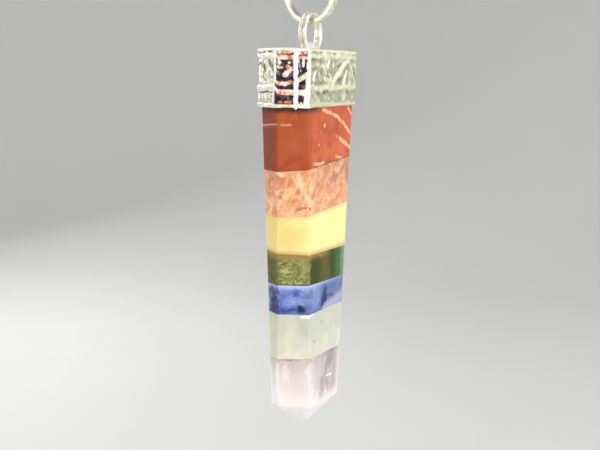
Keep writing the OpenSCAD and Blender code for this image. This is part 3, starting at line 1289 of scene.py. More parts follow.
# Stamped strokes on the three sides seen in the photograph, in hundredths of a millimetre. Each
# row gives the length round the outline from the left bend and the height above the rim, at its
# start and end, then its half width at both, and in hundredths its height and its paleness. A pale
# stroke is partly a painted highlight.
HUNDREDTHS = 100.0
LEFT_REAR_STROKES = (
    (-296, 390, -297, 345, 46, 44, 100, 100), (-185, 460, -140, 405, 30, 33, 90, 100),
    (-290, 285, -225, 260, 32, 28, 90, 90), (-160, 380, -64, 273, 15, 13, 80, 90),
    (-100, 390, -60, 340, 26, 25, 85, 100), (-330, 465, -260, 480, 10, 10, 40, 30),
    (-310, 130, -310, 92, 12, 10, 70, 50), (-243, 130, -243, 92, 12, 10, 70, 50),
    (-176, 130, -176, 92, 12, 10, 70, 50), (-110, 130, -110, 92, 12, 10, 70, 60),
)
LEFT_FRONT_STROKES = (
    (140, 555, 175, 562, 20, 16, 70, 10), (41, 472, 41, 448, 20, 24, 90, 100),
    (15, 548, 120, 552, 22, 20, 60, 70), (245, 550, 310, 554, 20, 22, 70, 90),
    (30, 412, 70, 406, 22, 16, 85, 50), (142, 456, 142, 450, 18, 18, 60, 90),
    (120, 415, 165, 395, 22, 28, 90, 25), (162, 393, 105, 336, 28, 34, 95, 70),
    (7, 379, 35, 361, 7, 7, 60, 60), (20, 350, 45, 335, 6, 6, 50, 70),
    (-3, 273, 54, 246, 20, 24, 85, 30), (54, 246, 105, 243, 24, 24, 85, 75),
    (105, 243, 168, 268, 24, 24, 90, 50), (226, 275, 320, 332, 26, 30, 95, 45),
    (45, 66, 70, 64, 16, 18, 60, 25), (110, 66, 150, 60, 18, 22, 70, 40),
    (246, 524, 265, 502, 15, 18, 80, 10), (280, 500, 282, 415, 16, 15, 90, 100),
    (242, 470, 250, 405, 8, 8, 60, 40), (257, 380, 260, 370, 14, 12, 50, 90),
    (280, 152, 292, 145, 24, 26, 90, 90), (265, 52, 275, 42, 17, 18, 70, 40),
)
FRONT_STROKES = (
    (360, 395, 407, 426, 26, 28, 40, 40), (407, 426, 504, 446, 28, 28, 40, 40),
    (504, 446, 633, 429, 28, 28, 36, 40), (633, 429, 693, 378, 28, 26, 44, 50),
    (693, 378, 730, 310, 24, 26, 34, 40), (730, 310, 800, 255, 26, 30, 36, 50),
    (800, 255, 920, 255, 30, 34, 42, 50), (940, 285, 1170, 445, 36, 34, 100, 100),
    (1170, 445, 1298, 500, 30, 24, 60, 70), (1298, 500, 1371, 391, 22, 24, 50, 60),
    (1371, 391, 1463, 252, 24, 28, 46, 60), (760, 416, 808, 487, 36, 10, 85, 90),
    (902, 426, 884, 487, 18, 12, 75, 80), (648, 432, 690, 390, 18, 18, 60, 80),
    (695, 307, 726, 275, 18, 14, 60, 80), (810, 336, 848, 290, 22, 18, 70, 80),
    (488, 372, 436, 275, 14, 26, 85, 90), (1256, 388, 1177, 255, 14, 38, 90, 100),
    (560, 340, 600, 290, 30, 34, 30, 40), (1020, 460, 1070, 470, 30, 30, 25, 40),
    (807, 95, 807, 78, 15, 12, 50, 60), (930, 95, 930, 78, 15, 12, 50, 60),
    (1250, 110, 1250, 90, 15, 12, 40, 60), (1420, 100, 1420, 80, 18, 15, 40, 80),
)

# For each side, how deep the grooves along its strokes are, as a share of a stroke's height.
GROOVE_DEPTHS = ((LEFT_REAR_STROKES, 0.6), (LEFT_FRONT_STROKES, 0.3), (FRONT_STROKES, 0.12))

# Strokes that are pressed in. Each row has the same first six numbers, then its depth.
PRESSED_STROKES = (
    (-330, 564, -290, 562, 8, 8, 90), (-240, 564, -200, 562, 8, 8, 90),
    (-140, 560, -70, 562, 8, 8, 80), (-340, 156, -30, 158, 7, 7, 80),
    (-230, 450, -210, 360, 12, 12, 60), (-120, 480, -50, 420, 12, 12, 50),
    (810, 566, 860, 564, 10, 8, 29), (900, 564, 960, 566, 8, 10, 34),
    (1010, 566, 1040, 564, 8, 8, 25), (1080, 564, 1150, 566, 10, 10, 34),
    (1200, 564, 1230, 566, 8, 8, 25), (1280, 562, 1340, 566, 10, 10, 34),
    (520, 562, 580, 564, 8, 8, 17), (860, 148, 1480, 142, 20, 18, 12),
    (500, 150, 860, 150, 20, 20, 10), (390, 482, 470, 486, 14, 10, 21),
    (590, 390, 620, 350, 16, 14, 19), (990, 390, 1040, 430, 12, 14, 19),
    (1060, 280, 1120, 320, 20, 16, 19), (1330, 290, 1340, 360, 14, 14, 19),
    (1430, 440, 1450, 360, 14, 14, 19), (540, 270, 500, 320, 18, 14, 17),
    (940, 490, 1060, 494, 10, 10, 21), (1340, 490, 1460, 492, 10, 10, 21),
)


@dataclass(frozen=True)
class Scroll:
    """The scroll that runs round the hidden sides, with leaves and berries, above a row of beads.

    For each side, half_waves gives the number of its first half wave and how many it has.
    """

    middle: float = 3.75
    sway: float = 0.9
    stem_width: float = 0.58
    stem_tall: float = 0.85
    stem_fullness: float = 0.6
    leaf_length: float = 1.15
    leaf_half_width: float = 0.25
    leaf_fullness: float = 0.85
    leaf_step: float = 0.3
    leaf_angle: float = 42.0
    leaf_foot: float = 0.05
    leaf_tall: float = 0.8
    side_leaf_share: float = 0.8
    vein_depth: float = 0.4
    vein_half_width: float = 0.04
    berry_aside: float = 1.12
    berry_above: float = 0.3
    berry_radius: float = 0.2
    bead_height: float = 0.95
    bead_pitch: float = 0.62
    bead_margin: float = 0.19
    bead_tall: float = 0.6
    bead_half_width: float = 0.2
    bead_half_length: float = 0.34
    half_waves: tuple[tuple[int, int], ...] = ((8, 1), (9, 1), (0, 3), (3, 1), (4, 1), (5, 3))

    def stem(self, swing: Array, span: Array, up: Array) -> Array:
        """The running stem: a round ridge along a sine wave.

        The distance from the wave is the height difference times the cosine of its slope.

        Args:
            swing: Place along the wave, one for each half wave.
            span: Length of a half wave.
            up: Height above the lower rim.

        Returns:
            Height of the relief, from 0 to 1.
        """
        middle = self.middle + self.sway * np.sin(np.pi * swing)
        slope = self.sway * np.pi / span * np.cos(np.pi * swing)
        distance = (up - middle) / np.sqrt(1.0 + slope * slope)
        across = 1.0 - (distance / (self.stem_width / 2.0)) ** 2
        return np.clip(across, 0.0, 1.0) ** self.stem_fullness

    def leaves(self, swing: Array, span: Array, up: Array) -> Array:
        """Three leaves fanned out in the hollow of each half wave, and two berries beside them.

        A leaf's half width is a sine of the share of its length, its top a half circle across,
        grooved along the middle. A berry is a half ball.

        Args:
            swing: Place along the wave, one for each half wave.
            span: Length of a half wave.
            up: Height above the lower rim.

        Returns:
            Height of the relief, from 0 to 1.
        """
        across = (swing - np.floor(swing) - 0.5) * span
        turned = np.where(np.floor(swing) % 2 == 1, -1.0, 1.0)
        above = (up - self.middle) * turned + self.sway + self.leaf_foot
        total = np.zeros_like(up)
        for fan in (-1, 0, 1):
            angle = math.radians(-self.leaf_angle * fan)
            length = self.leaf_length * (1.0 if fan == 0 else self.side_leaf_share)
            x = across - fan * self.leaf_step
            forward = -x * math.sin(angle) + above * math.cos(angle)
            aside = x * math.cos(angle) + above * math.sin(angle)
            share = np.clip(forward / length, 0.0, 1.0)
            half = self.leaf_half_width * np.sin(np.pi * share ** self.leaf_fullness)
            dome = round_top(aside / np.maximum(half, 1e-3))
            dome *= (share > 0.0) * (share < 1.0)
            vein = self.vein_depth * np.exp(-((aside / self.vein_half_width) ** 2))
            total = np.maximum(total, dome * (1.0 - vein))
        for aside in (-self.berry_aside, self.berry_aside):
            distance = np.hypot(across - aside, above - self.berry_above) / self.berry_radius
            total = np.maximum(total, round_top(distance))
        return total

    def beads(self, length: Array, along: Array, up: Array) -> Array:
        """The row of beads: half ovals at even steps about the middle of the side.

        Args:
            length: Length of the side.
            along: Place along the side from its middle.
            up: Height above the lower rim.

        Returns:
            Height of the relief, from 0 to 1.
        """
        last = np.floor((length - self.bead_margin) / self.bead_pitch) - 1.0
        place = along / self.bead_pitch + last / 2.0
        aside = (place - np.round(np.clip(place, 0.0, last))) * self.bead_pitch
        over = (up - self.bead_height) / self.bead_half_length
        return np.sqrt(np.clip(1.0 - (aside / self.bead_half_width) ** 2 - over ** 2, 0.0, 1.0))

    def relief(self, side: Array, length: Array, along: Array, up: Array) -> Array:
        """The highest of stem, leaves and beads.

        Args:
            side: Number of the side.
            length: Length of the side.
            along: Place along the side from its middle.
            up: Height above the lower rim.

        Returns:
            Height of the relief, from 0 to 1.
        """
        first, count = (np.array(column)[side] for column in zip(*self.half_waves))
        swing = first + (along / length + 0.5) * count
        return np.maximum.reduce((
            self.stem_tall * self.stem(swing, length / count, up),
            self.leaf_tall * self.leaves(swing, length / count, up),
            self.bead_tall * self.beads(length, along, up),
        ))


@dataclass(frozen=True)
class WornSide:
    """The left front bevel, worn through its plating, with rubbed strips on its bends and its seam
    painted bright as highlights.

    Each curve gives heights above the lower rim, and at each of them either a place round the
    outline from the left bend or half a width.
    """

    seam_place: float = 0.38
    seam_width: float = 0.42
    left_bend: Curve = ((0.2, 1.1, 2.0, 2.9, 4.5), (-0.41, -0.34, -0.21, -0.12, 0.0))
    right_bend: Curve = ((0.2, 1.1, 2.1, 3.3, 5.5), (3.28, 3.33, 3.38, 3.5, 3.53))
    left_half: Curve = ((0.2, 2.0, 5.5), (0.17, 0.13, 0.1))
    right_half: Curve = ((0.2, 2.0, 5.5), (0.37, 0.28, 0.21))
    upper_rim: Span = (0.26, 0.14)
    clear_below: Span = (0.3, 0.45)
    clear_above: Span = (0.2, 0.35)
    soft_edge: float = 0.04
    ragged_edge: Layers = ((0.07, 0.4, 71),)

    def strengths(self, around: Array, up: Array, length: float, height: float) -> tuple[Array, Array]:
        """How worn the sheet is, and where its rubbed strips are painted as highlights.

        Its rubbed strips, painted as highlights, lie on both bends, which lean and widen downwards,
        and on the seam; it is worn between them but for the rims.

        Args:
            around: Length round the outline from the left bend.
            up: Height above the lower rim.
            length: Length of the side.
            height: Height of the cap.

        Returns:
            Strength of the wear and of the rubbed strips painted as highlights, from 0 to 1.
        """
        ragged = layered_noise(np.stack([around, up, 0.0 * up], axis=-1), self.ragged_edge)
        left, right = np.interp(up, *self.left_bend), np.interp(up, *self.right_bend)
        strips = (
            (left, np.interp(up, *self.left_half)),
            (length / 2.0 + self.seam_place, self.seam_width / 2.0),
            (right, np.interp(up, *self.right_half)),
        )
        rubbed = np.zeros_like(up)
        for middle, half in strips:
            beyond = np.abs(around - middle) + ragged - half
            rubbed = np.maximum(rubbed, 1.0 - soft_step(-self.soft_edge, self.soft_edge, beyond))
        between = (around > left) * (around < right)
        rim = soft_step(*(height - edge for edge in self.upper_rim), up + ragged)
        rubbed = np.maximum(rubbed, between * rim)
        clear = soft_step(*self.clear_below, up + ragged)
        clear = clear * soft_step(*self.clear_above, height - up + ragged)
        return between * clear * (1.0 - rubbed), rubbed


@dataclass(frozen=True)
class WireEye:
    """The eye: wire wound through two turns of a coil, its ends down in the solder."""

    diameter: float = 4.1
    wire: float = 0.45
    pitch: float = 0.47
    turns: float = 2.0
    taller: float = 0.12
    narrower: float = 0.18
    sunk: float = 0.12
    steps: int = 260
    steps_section: int = 22
    waver: Layers = ((0.016, 0.8, 51),)
    finish: SilverPlate = SilverPlate(
        "eye_silver", srgb(255, 253, 244), srgb(246, 240, 226), metal=0.6
    )

    def surface(self, foot: Array) -> Surface:
        """The wire's middle goes round an upright oval in the XZ plane, and moves along Y evenly.

        Its section is a circle across the path.

        Args:
            foot: Where the eye stands on the top plate.

        Returns:
            The wire.
        """
        radius = (self.diameter - self.wire) / 2.0
        half_wide, half_tall = radius - self.narrower, radius + self.taller / 2.0
        middle = foot + np.array([0.0, 0.0, self.wire / 2.0 - self.sunk + half_tall])
        share = np.linspace(0.0, 1.0, self.steps)[:, None]
        turn = np.pi * (2.0 * self.turns * share - 0.5)
        spin = full_turn(self.steps_section)[None, :]
        out = self.wire / 2.0 * np.cos(spin)
        y = self.pitch * (2.0 * share - 1.0) - self.wire / 2.0 * np.sin(spin)
        x, z = (half_wide + out) * np.cos(turn), (half_tall + out) * np.sin(turn)
        points = np.stack([x, y, z], axis=-1)
        points += grid_normals(points) * layered_noise(points, self.waver)[..., None]
        return capped_tube(points + middle)


@dataclass(frozen=True)
class SolderMound:
    """The solder round the eye's foot: a low mound with a hollow flank, drawn up along the wires."""

    half_long: float = 1.7
    half_short: float = 1.3
    tall: float = 0.95
    hollow: float = 1.2
    sunk: float = 0.02
    underside: float = -0.2
    innermost: float = 0.02
    brim: Span = (1.02, 0.9)
    lobes: tuple[tuple[int, float, float], ...] = ((3, 0.06, 0.6), (7, 0.04, 0.0))
    steps: int = 120
    rings: int = 26
    lumps: Layers = ((0.03, 0.45, 61),)
    finish: SilverPlate = SilverPlate(
        "solder_silver", srgb(255, 254, 250), srgb(252, 246, 240), metal=0.3
    )

    def surface(self, foot: Array) -> Surface:
        """The height falls from the middle as a power of what is left of the radius.

        The base is an oval with lobes that follow sines of the angle. Noise makes the mound
        uneven, and its two lowest rings close it inside the top plate.

        Args:
            foot: Where its middle stands on the top plate.

        Returns:
            The mound.
        """
        around = full_turn(self.steps)[None, :]
        share = np.append(np.linspace(self.innermost, 1.0, self.rings), self.brim)[:, None]
        ragged = 1.0 + sum(size * np.sin(count * around + turn) for count, size, turn in self.lobes)
        x = self.half_long * share * ragged * np.cos(around)
        y = self.half_short * share * ragged * np.sin(around)
        left = np.clip(1.0 - share, 0.0, 1.0) + 0.0 * around
        z = self.tall * left ** self.hollow - self.sunk
        z[self.rings:] = self.underside
        points = np.stack([x, y, z], axis=-1)
        points[:self.rings, :, 2] += layered_noise(points[:self.rings], self.lumps)
        return capped_tube(points + foot)


@dataclass
class StampedCap:
    """The stamped cap: sheet folded round the stone, top plate, eye of two turns and solder.

    The inside heights are those of the rows up the hollow, the lip's insets those of the rows
    under the lower rim. The bands are rims and ribs, by their lower and upper edges. Sizes named
    front or rear are those of the front side or of the left rear bevel. Where something sets in
    softly, a pair gives where it begins and where it is full.
    """

    height: float = 6.0
    relief: float = 0.12
    sheet: float = 0.22
    plate: float = 0.35
    bend: float = 0.2
    inner_bend: float = 0.06
    side_angle: float = 30.0
    rolled_edge: float = 0.14
    rolled_share: float = 0.9
    seam_point: float = 0.2
    seam_relief: float = 0.88
    foot_place: float = 0.25
    bands: tuple[Span, ...] = ((0.0, 0.4), (1.74, 2.26), (5.04, 5.46), (5.72, 6.0))
    band_edge: float = 0.16
    band_lowered: float = 0.38
    lowered_less: float = 0.055
    less_above: float = 1.6
    lowered_from: Span = (0.4, 1.1)
    lowered_until: Span = (5.4, 5.8)
    worn_fade: float = 0.3
    worn_mottled: float = 0.5
    front_softer: float = 0.2
    front_weaker: float = 0.25
    front_foot: Span = (0.6, 0.4)
    front_darker: float = 0.3
    rear_swell: float = 0.6
    rear_raised: float = 0.2
    rear_paler: float = 0.3
    rear_rub_and_highlight: float = 0.45
    rubbed_relief: Span = (0.1, 0.5)
    rim_place: Span = (5.6, 5.8)
    rim_paler: float = 0.4
    least_relief: float = 0.02
    groove_place: float = 1.25
    groove_half_width: float = 0.25
    stamping_level: float = 0.9
    swell_level: float = 0.14
    swell_floor: float = -0.05
    dent_level: float = -0.03
    columns: int = 640
    wall_steps: int = 110
    plate_steps: int = 15
    plate_within: Span = (0.03, 0.93)
    plate_edge: Span = (0.965, 0.985)
    plate_sag: float = 0.05
    sag_edge: Span = (0.985, 0.9)
    plate_turn_down: int = 12
    plate_levels: tuple[tuple[str, float, float], ...] = (("relief", 0.5, 0.25), ("pale", 0.5, 0.3))
    plate_rub_and_highlight: float = 0.5
    plate_rubbed: Span = (5.0, -1.0)
    ceiling_shrink: Span = (0.6, 0.2)
    lower_waves: Span = (0.0, 0.9)
    upper_waves: Span = (5.2, 6.0)
    lip_insets: tuple[float, ...] = (0.05, 0.12, 0.18)
    inside_heights: tuple[float, ...] = (0.04, 0.6, 2.0, 4.0)
    wobbles: Layers = ((0.07, 0.9, 11), (0.05, 0.35, 12))
    stamping: Layers = ((0.26, 0.7, 5), (0.2, 0.25, 6))
    swells: Layers = ((0.28, 0.9, 9), (0.224, 0.4, 10))
    grain: Layers = ((0.08, 0.32, 7), (0.06, 0.14, 8))
    mottles: Layers = ((0.35, 0.5, 13), (0.25, 0.2, 14))
    waves: Layers = ((0.04, 1.3, 21),)
    dents: Layers = ((0.05, 2.6, 33), (0.02, 1.1, 34))
    plate_lumps: Layers = ((0.03, 1.4, 40),)
    plate_tones: Layers = ((1.0, 1.7, 41), (0.6, 0.6, 42))
    seam_lumps: Layers = ((0.08, 0.3, 2),)
    scroll: Scroll = Scroll()
    worn_side: WornSide = WornSide()
    eye: WireEye = WireEye()
    solder: SolderMound = SolderMound()
    finish: SilverPlate = SilverPlate("cap_silver", stamped=True)

    def __post_init__(self) -> None:
        """Takes the cap's place and reach from its CAD node, and lays the columns round it."""
        low, high = (np.array(corner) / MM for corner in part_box("cap"))
        self.axis_x = (low[0] + high[0]) / 2.0
        self.top = high[2] - self.eye.diameter + self.eye.sunk
        self.centre = np.array([self.axis_x, 0.0, self.top])
        slant = math.radians(self.side_angle)
        tip = (high[0] - low[0]) / 2.0 - self.relief / math.cos(slant)
        wide = (high[1] - low[1]) / 2.0 - self.relief
        waist = tip - wide * math.tan(slant)
        self.corners = np.array([
            [-waist, wide], [-tip, 0.0], [-waist, -wide], [waist, -wide], [tip, 0.0], [waist, wide],
        ])
        edges = np.roll(self.corners, -1, axis=0) - self.corners
        self.lengths = side_lengths(self.corners)
        self.outward = np.stack([edges[:, 1], -edges[:, 0]], axis=1) / self.lengths[:, None]
        ends = np.concatenate([[0.0], np.cumsum(self.lengths)])
        self.stations = (np.arange(self.columns) + 0.5) * ends[-1] / self.columns
        self.around = self.stations - self.lengths[Side.LEFT_REAR.value]
        self.side = np.searchsorted(ends, self.stations, side="right") - 1
        self.along = self.stations - (ends[self.side] + ends[self.side + 1]) / 2.0

    def outline(self, window: float) -> tuple[Array, Array]:
        """The sheet's outline, rounded at its bends, and how far a step outwards moves each point.

        Args:
            window: Length over which a bend is rounded.

        Returns:
            The points, and the vectors that widen the outline by one millimetre on every side.
        """
        shares = corner_shares(self.lengths, self.stations, window)
        bend_cosine = math.cos(2.0 * math.radians(self.side_angle))
        step = (np.roll(self.outward, 1, axis=0) + self.outward) / (1.0 + bend_cosine)
        return shares @ self.corners, shares @ step

    def lift(self, flat: Array, up: Array) -> Array:
        """Puts points of the outline at heights above the lower rim, in the part's frame."""
        flat = np.broadcast_to(flat, (*up.shape, 2)) + [self.axis_x, 0.0]
        return np.concatenate([flat, (self.top - self.height + up)[..., None]], axis=-1)

    def on_side(self, side: Side) -> Array:
        """1 in the columns of a side and 0 in all others."""
        return 1.0 * (self.side == side.value)

    def band_relief(self, up: Array, wobble: Array, edge: Array) -> Array:
        """Rims and ribs: level-topped bands with soft edges.

        Args:
            up: Height above the lower rim.
            wobble: Small shift of the bands along the cap.
            edge: Height over which a band rises.

        Returns:
            Height of the relief, from 0 to 1.
        """
        total, place, half = np.zeros_like(up), up + wobble, edge / 2
        for low, high in self.bands:
            above = soft_step(low - half, low + half, place) if low > 0.0 else 1.0
            beyond = soft_step(high - half, high + half, place) if high < self.height else 0.0
            total = np.maximum(total, above * (1.0 - beyond))
        return total

    def drawn_relief(self, around: Array, up: Array) -> tuple[Array, Array, Array]:
        """The strokes of the sides that the photograph shows, each round across.

        Along the edge of a raised stroke lies a groove, a narrow bell just outside the stroke.

        Args:
            around: Length round the outline from the left bend.
            up: Height above the lower rim.

        Returns:
            Height of the relief, up to 1 and below 0 in the grooves, depth of the strokes that
            are pressed in, and the strokes' paleness.
        """
        total, groove, pressed = np.zeros_like(up), np.zeros_like(up), np.zeros_like(up)
        pale = np.full_like(up, 0.5)
        for strokes, depth in GROOVE_DEPTHS:
            for *stroke, tall, paleness in np.array(strokes) / HUNDREDTHS:
                aside = from_stroke(around, up, stroke)
                dome = tall * round_top(aside)
                pale = np.where(dome > total, paleness, pale)
                total = np.maximum(total, dome)
                bell = np.exp(-(((aside - self.groove_place) / self.groove_half_width) ** 2))
                groove = np.maximum(groove, depth * tall * bell)
        for *stroke, depth in np.array(PRESSED_STROKES) / HUNDREDTHS:
            pressed = np.minimum(pressed, -depth * round_top(from_stroke(around, up, stroke)))
        return total - groove * (1.0 - total), pressed, pale

    def wall_relief(self, up: Array) -> tuple[Array, Array]:
        """All of the relief on the wall.

        Args:
            up: Height above the lower rim.

        Returns:
            Height of the relief, up to 1, and the paleness of the metal.
        """
        around = self.around + 0.0 * up
        place = np.stack([around, up, 0.0 * up], axis=-1)
        wobble = layered_noise(place, self.wobbles)
        rear, front = self.on_side(Side.LEFT_REAR), self.on_side(Side.FRONT)
        end = self.lengths[Side.LEFT_FRONT.value]
        worn = soft_step(0.0, self.worn_fade, around)
        worn = worn * (1.0 - soft_step(end - self.worn_fade, end, around))

        # The bands sit lower on the worn bevel, most at the bottom, and are softer on the front.
        lowered = self.band_lowered - self.lowered_less * (up - self.less_above).clip(0.0)
        lowered = worn * lowered * soft_step(*self.lowered_from, up)
        lowered = lowered * (1.0 - soft_step(*self.lowered_until, up))
        bands = self.band_relief(up + lowered, wobble, self.band_edge + self.front_softer * front)
        drawn, hollow, pale = self.drawn_relief(around + wobble, up + wobble)
        scroll = self.scroll.relief(self.side, self.lengths[self.side], self.along, up + wobble)
        shown = self.side <= Side.FRONT.value
        bands = bands * (1.0 - self.front_weaker * front)
        total = np.maximum(bands, np.where(shown, drawn, scroll))
        total = np.where((total < self.least_relief) & shown, np.minimum(drawn, total), total)
        total = total * (self.stamping_level + layered_noise(place, self.stamping))

        # The ground between the strokes swells on the front and on the left rear bevel.
        swells = np.maximum(layered_noise(place, self.swells) + self.swell_level, self.swell_floor)
        ground = layered_noise(place, self.grain) + (front + self.rear_swell * rear) * swells
        ground = ground + self.rear_raised * rear
        # Painted light: the left rear bevel and the top rim are paler.
        pale = pale + self.rear_paler * rear + self.rim_paler * soft_step(*self.rim_place, up)
        pale = pale - self.front_darker * front * soft_step(*self.front_foot, up)
        mottles = layered_noise(place, self.mottles) * (1.0 + self.worn_mottled * worn)
        return total + ground + hollow, pale + mottles

    def plate_rows(self, edge: Array) -> Array:
        """The plate's rows, from the middle out: the wall's top edge shrunk towards the axis.

        Their height goes over from the plate's own to the edge's with a high power of the
        shrinking, sags a little within, and is uneven by noise.

        Args:
            edge: The top row of the wall.

        Returns:
            Rows by columns by x, y and z.
        """
        within = np.linspace(*self.plate_within, self.plate_steps)
        shrink = np.append(within, self.plate_edge)[:, None]
        plate = self.centre + (edge - self.centre) * shrink[..., None]
        plate[..., 2] = self.top + (edge[:, 2] - self.top) * shrink ** self.plate_turn_down
        sag = self.plate_sag * soft_step(*self.sag_edge, shrink)
        plate[..., 2] += layered_noise(plate, self.plate_lumps) - sag
        return plate

    def hollow_rows(self, outer: Array, widen: Array, drop: Array) -> Array:
        """The rows from the lower rim inwards, up the inside and in below the plate.

        Args:
            outer: The wall's outline.
            widen: The vectors that widen it by a millimetre.
            drop: How far each column's rim hangs below its height.

        Returns:
            Rows by columns by x, y and z.
        """
        inner, inner_widen = self.outline(self.inner_bend)
        insets = np.array(self.lip_insets)[:, None, None]
        lip = self.lift(outer - widen * insets, np.tile(-drop, (len(insets), 1)))
        heights = np.array([*self.inside_heights, self.height - self.plate])[:, None]
        inside = self.lift(inner - inner_widen * self.sheet, heights + np.zeros(self.columns))
        inside[0, :, 2] -= drop
        shrink = np.array(self.ceiling_shrink)[:, None, None]
        ceiling = self.centre + (inside[-1] - self.centre) * shrink
        ceiling[..., 2] = inside[-1, :, 2]
        return np.concatenate([lip, inside, ceiling])

    def shell(self) -> Surface:
        """Top plate, wall and hollow as one closed surface.

        The rows run from the top plate's middle over its edge, down the wall, under the lower
        rim, up the inside and in below the plate. Each row of the wall is the outline moved
        outwards by the relief, less what is rolled in at its edges as a quarter circle.

        Returns:
            The shell, with marks for its relief and its worn side.
        """
        up = np.linspace(self.height, 0.0, self.wall_steps)[:, None] + np.zeros(self.columns)
        outer, widen = self.outline(self.bend)
        relief, pale = self.wall_relief(up)
        length, around = self.lengths[Side.LEFT_FRONT.value], self.around + 0.0 * up
        worn, rub_and_highlight = self.worn_side.strengths(around, up, length, self.height)
        along = self.along + 0.0 * up
        seam = self.seam_relief + layered_noise(np.stack([along, up, along], -1), self.seam_lumps)
        relief = relief * (1.0 - rub_and_highlight) + rub_and_highlight * seam
        from_edge = (1.0 - np.minimum(up, self.height - up) / self.rolled_edge).clip(0.0)
        rolled = self.rolled_share * self.relief * (1.0 - np.sqrt(1.0 - from_edge ** 2))
        reach = self.relief * relief - rolled

        # The lap ends in a point below the rim, and both rims are wavy.
        from_seam = np.abs(self.along - self.worn_side.seam_place) / (self.worn_side.seam_width / 2)
        point = self.seam_point * np.clip(1.0 - from_seam, 0.0, 1.0) * self.on_side(Side.LEFT_FRONT)
        wavy = layered_noise(np.stack([*outer.T, 0.0 * self.along], -1), self.waves)
        low, high = 1.0 - soft_step(*self.lower_waves, up), soft_step(*self.upper_waves, up)
        drop = (point + wavy) * low + wavy * high
        wall = self.lift(outer + widen * reach[..., None], up - drop)
        dents = layered_noise(wall, self.dents) + self.dent_level
        wall[..., :2] += widen * dents[..., None]

        plate, hollow = self.plate_rows(wall[0]), self.hollow_rows(outer, widen, drop[-1])
        # The left rear bevel's raised parts get rubbed strips, partly painted highlights.
        rubbed = self.on_side(Side.LEFT_REAR) * soft_step(*self.rubbed_relief, relief)
        margins = ((len(plate), len(hollow)), (0, 0))
        marks = {
            "relief": np.pad(np.clip(relief, -0.5, 1.0), margins, mode="edge"),
            "pale": np.pad(np.clip(pale, 0.0, 1.0), margins, mode="edge"),
            "worn": np.pad(worn, margins),
            "rub_and_highlight": np.pad(np.maximum(rub_and_highlight, self.rear_rub_and_highlight * rubbed), margins),
        }
        tone = layered_noise(plate, self.plate_tones)
        for name, level, share in self.plate_levels:
            marks[name][:len(plate)] = level + share * tone
        rubbed = self.plate_rub_and_highlight * soft_step(*self.plate_rubbed, plate[..., 0])
        marks["rub_and_highlight"][:len(plate)] = rubbed
        return capped_tube(np.concatenate([plate, wall, hollow]), marks)

    def build(self) -> None:
        """Makes shell, eye and solder in place of the cap's CAD node."""
        foot = self.centre + np.array([self.foot_place, 0.0, 0.0])
        pieces = (
            ("cap_shell", self.shell(), self.finish),
            ("cap_eye", self.eye.surface(foot), self.eye.finish),
            ("cap_solder", self.solder.surface(foot), self.solder.finish),
        )
        for name, surface, finish in pieces:
            made = make_object(name, surface, finish.material())
            finish_piece(made, Body.PENDANT, "stamped_cap", "cap")


class StoneKind(Enum):
    """The stones from the cap down, by the names of their CAD nodes."""

    RED = "red_stone"
    ORANGE = "orange_stone"
    YELLOW = "yellow_stone"
    GREEN = "green_stone"
    BLUE = "blue_stone"
    WHITE = "white_stone"
    VIOLET = "violet_point"


# Roughly where each of the six ridges stands round the stones' axis, in degrees.
RIDGE_ANGLES = (155.0, 175.0, 210.0, 331.0, 0.0, 27.0)


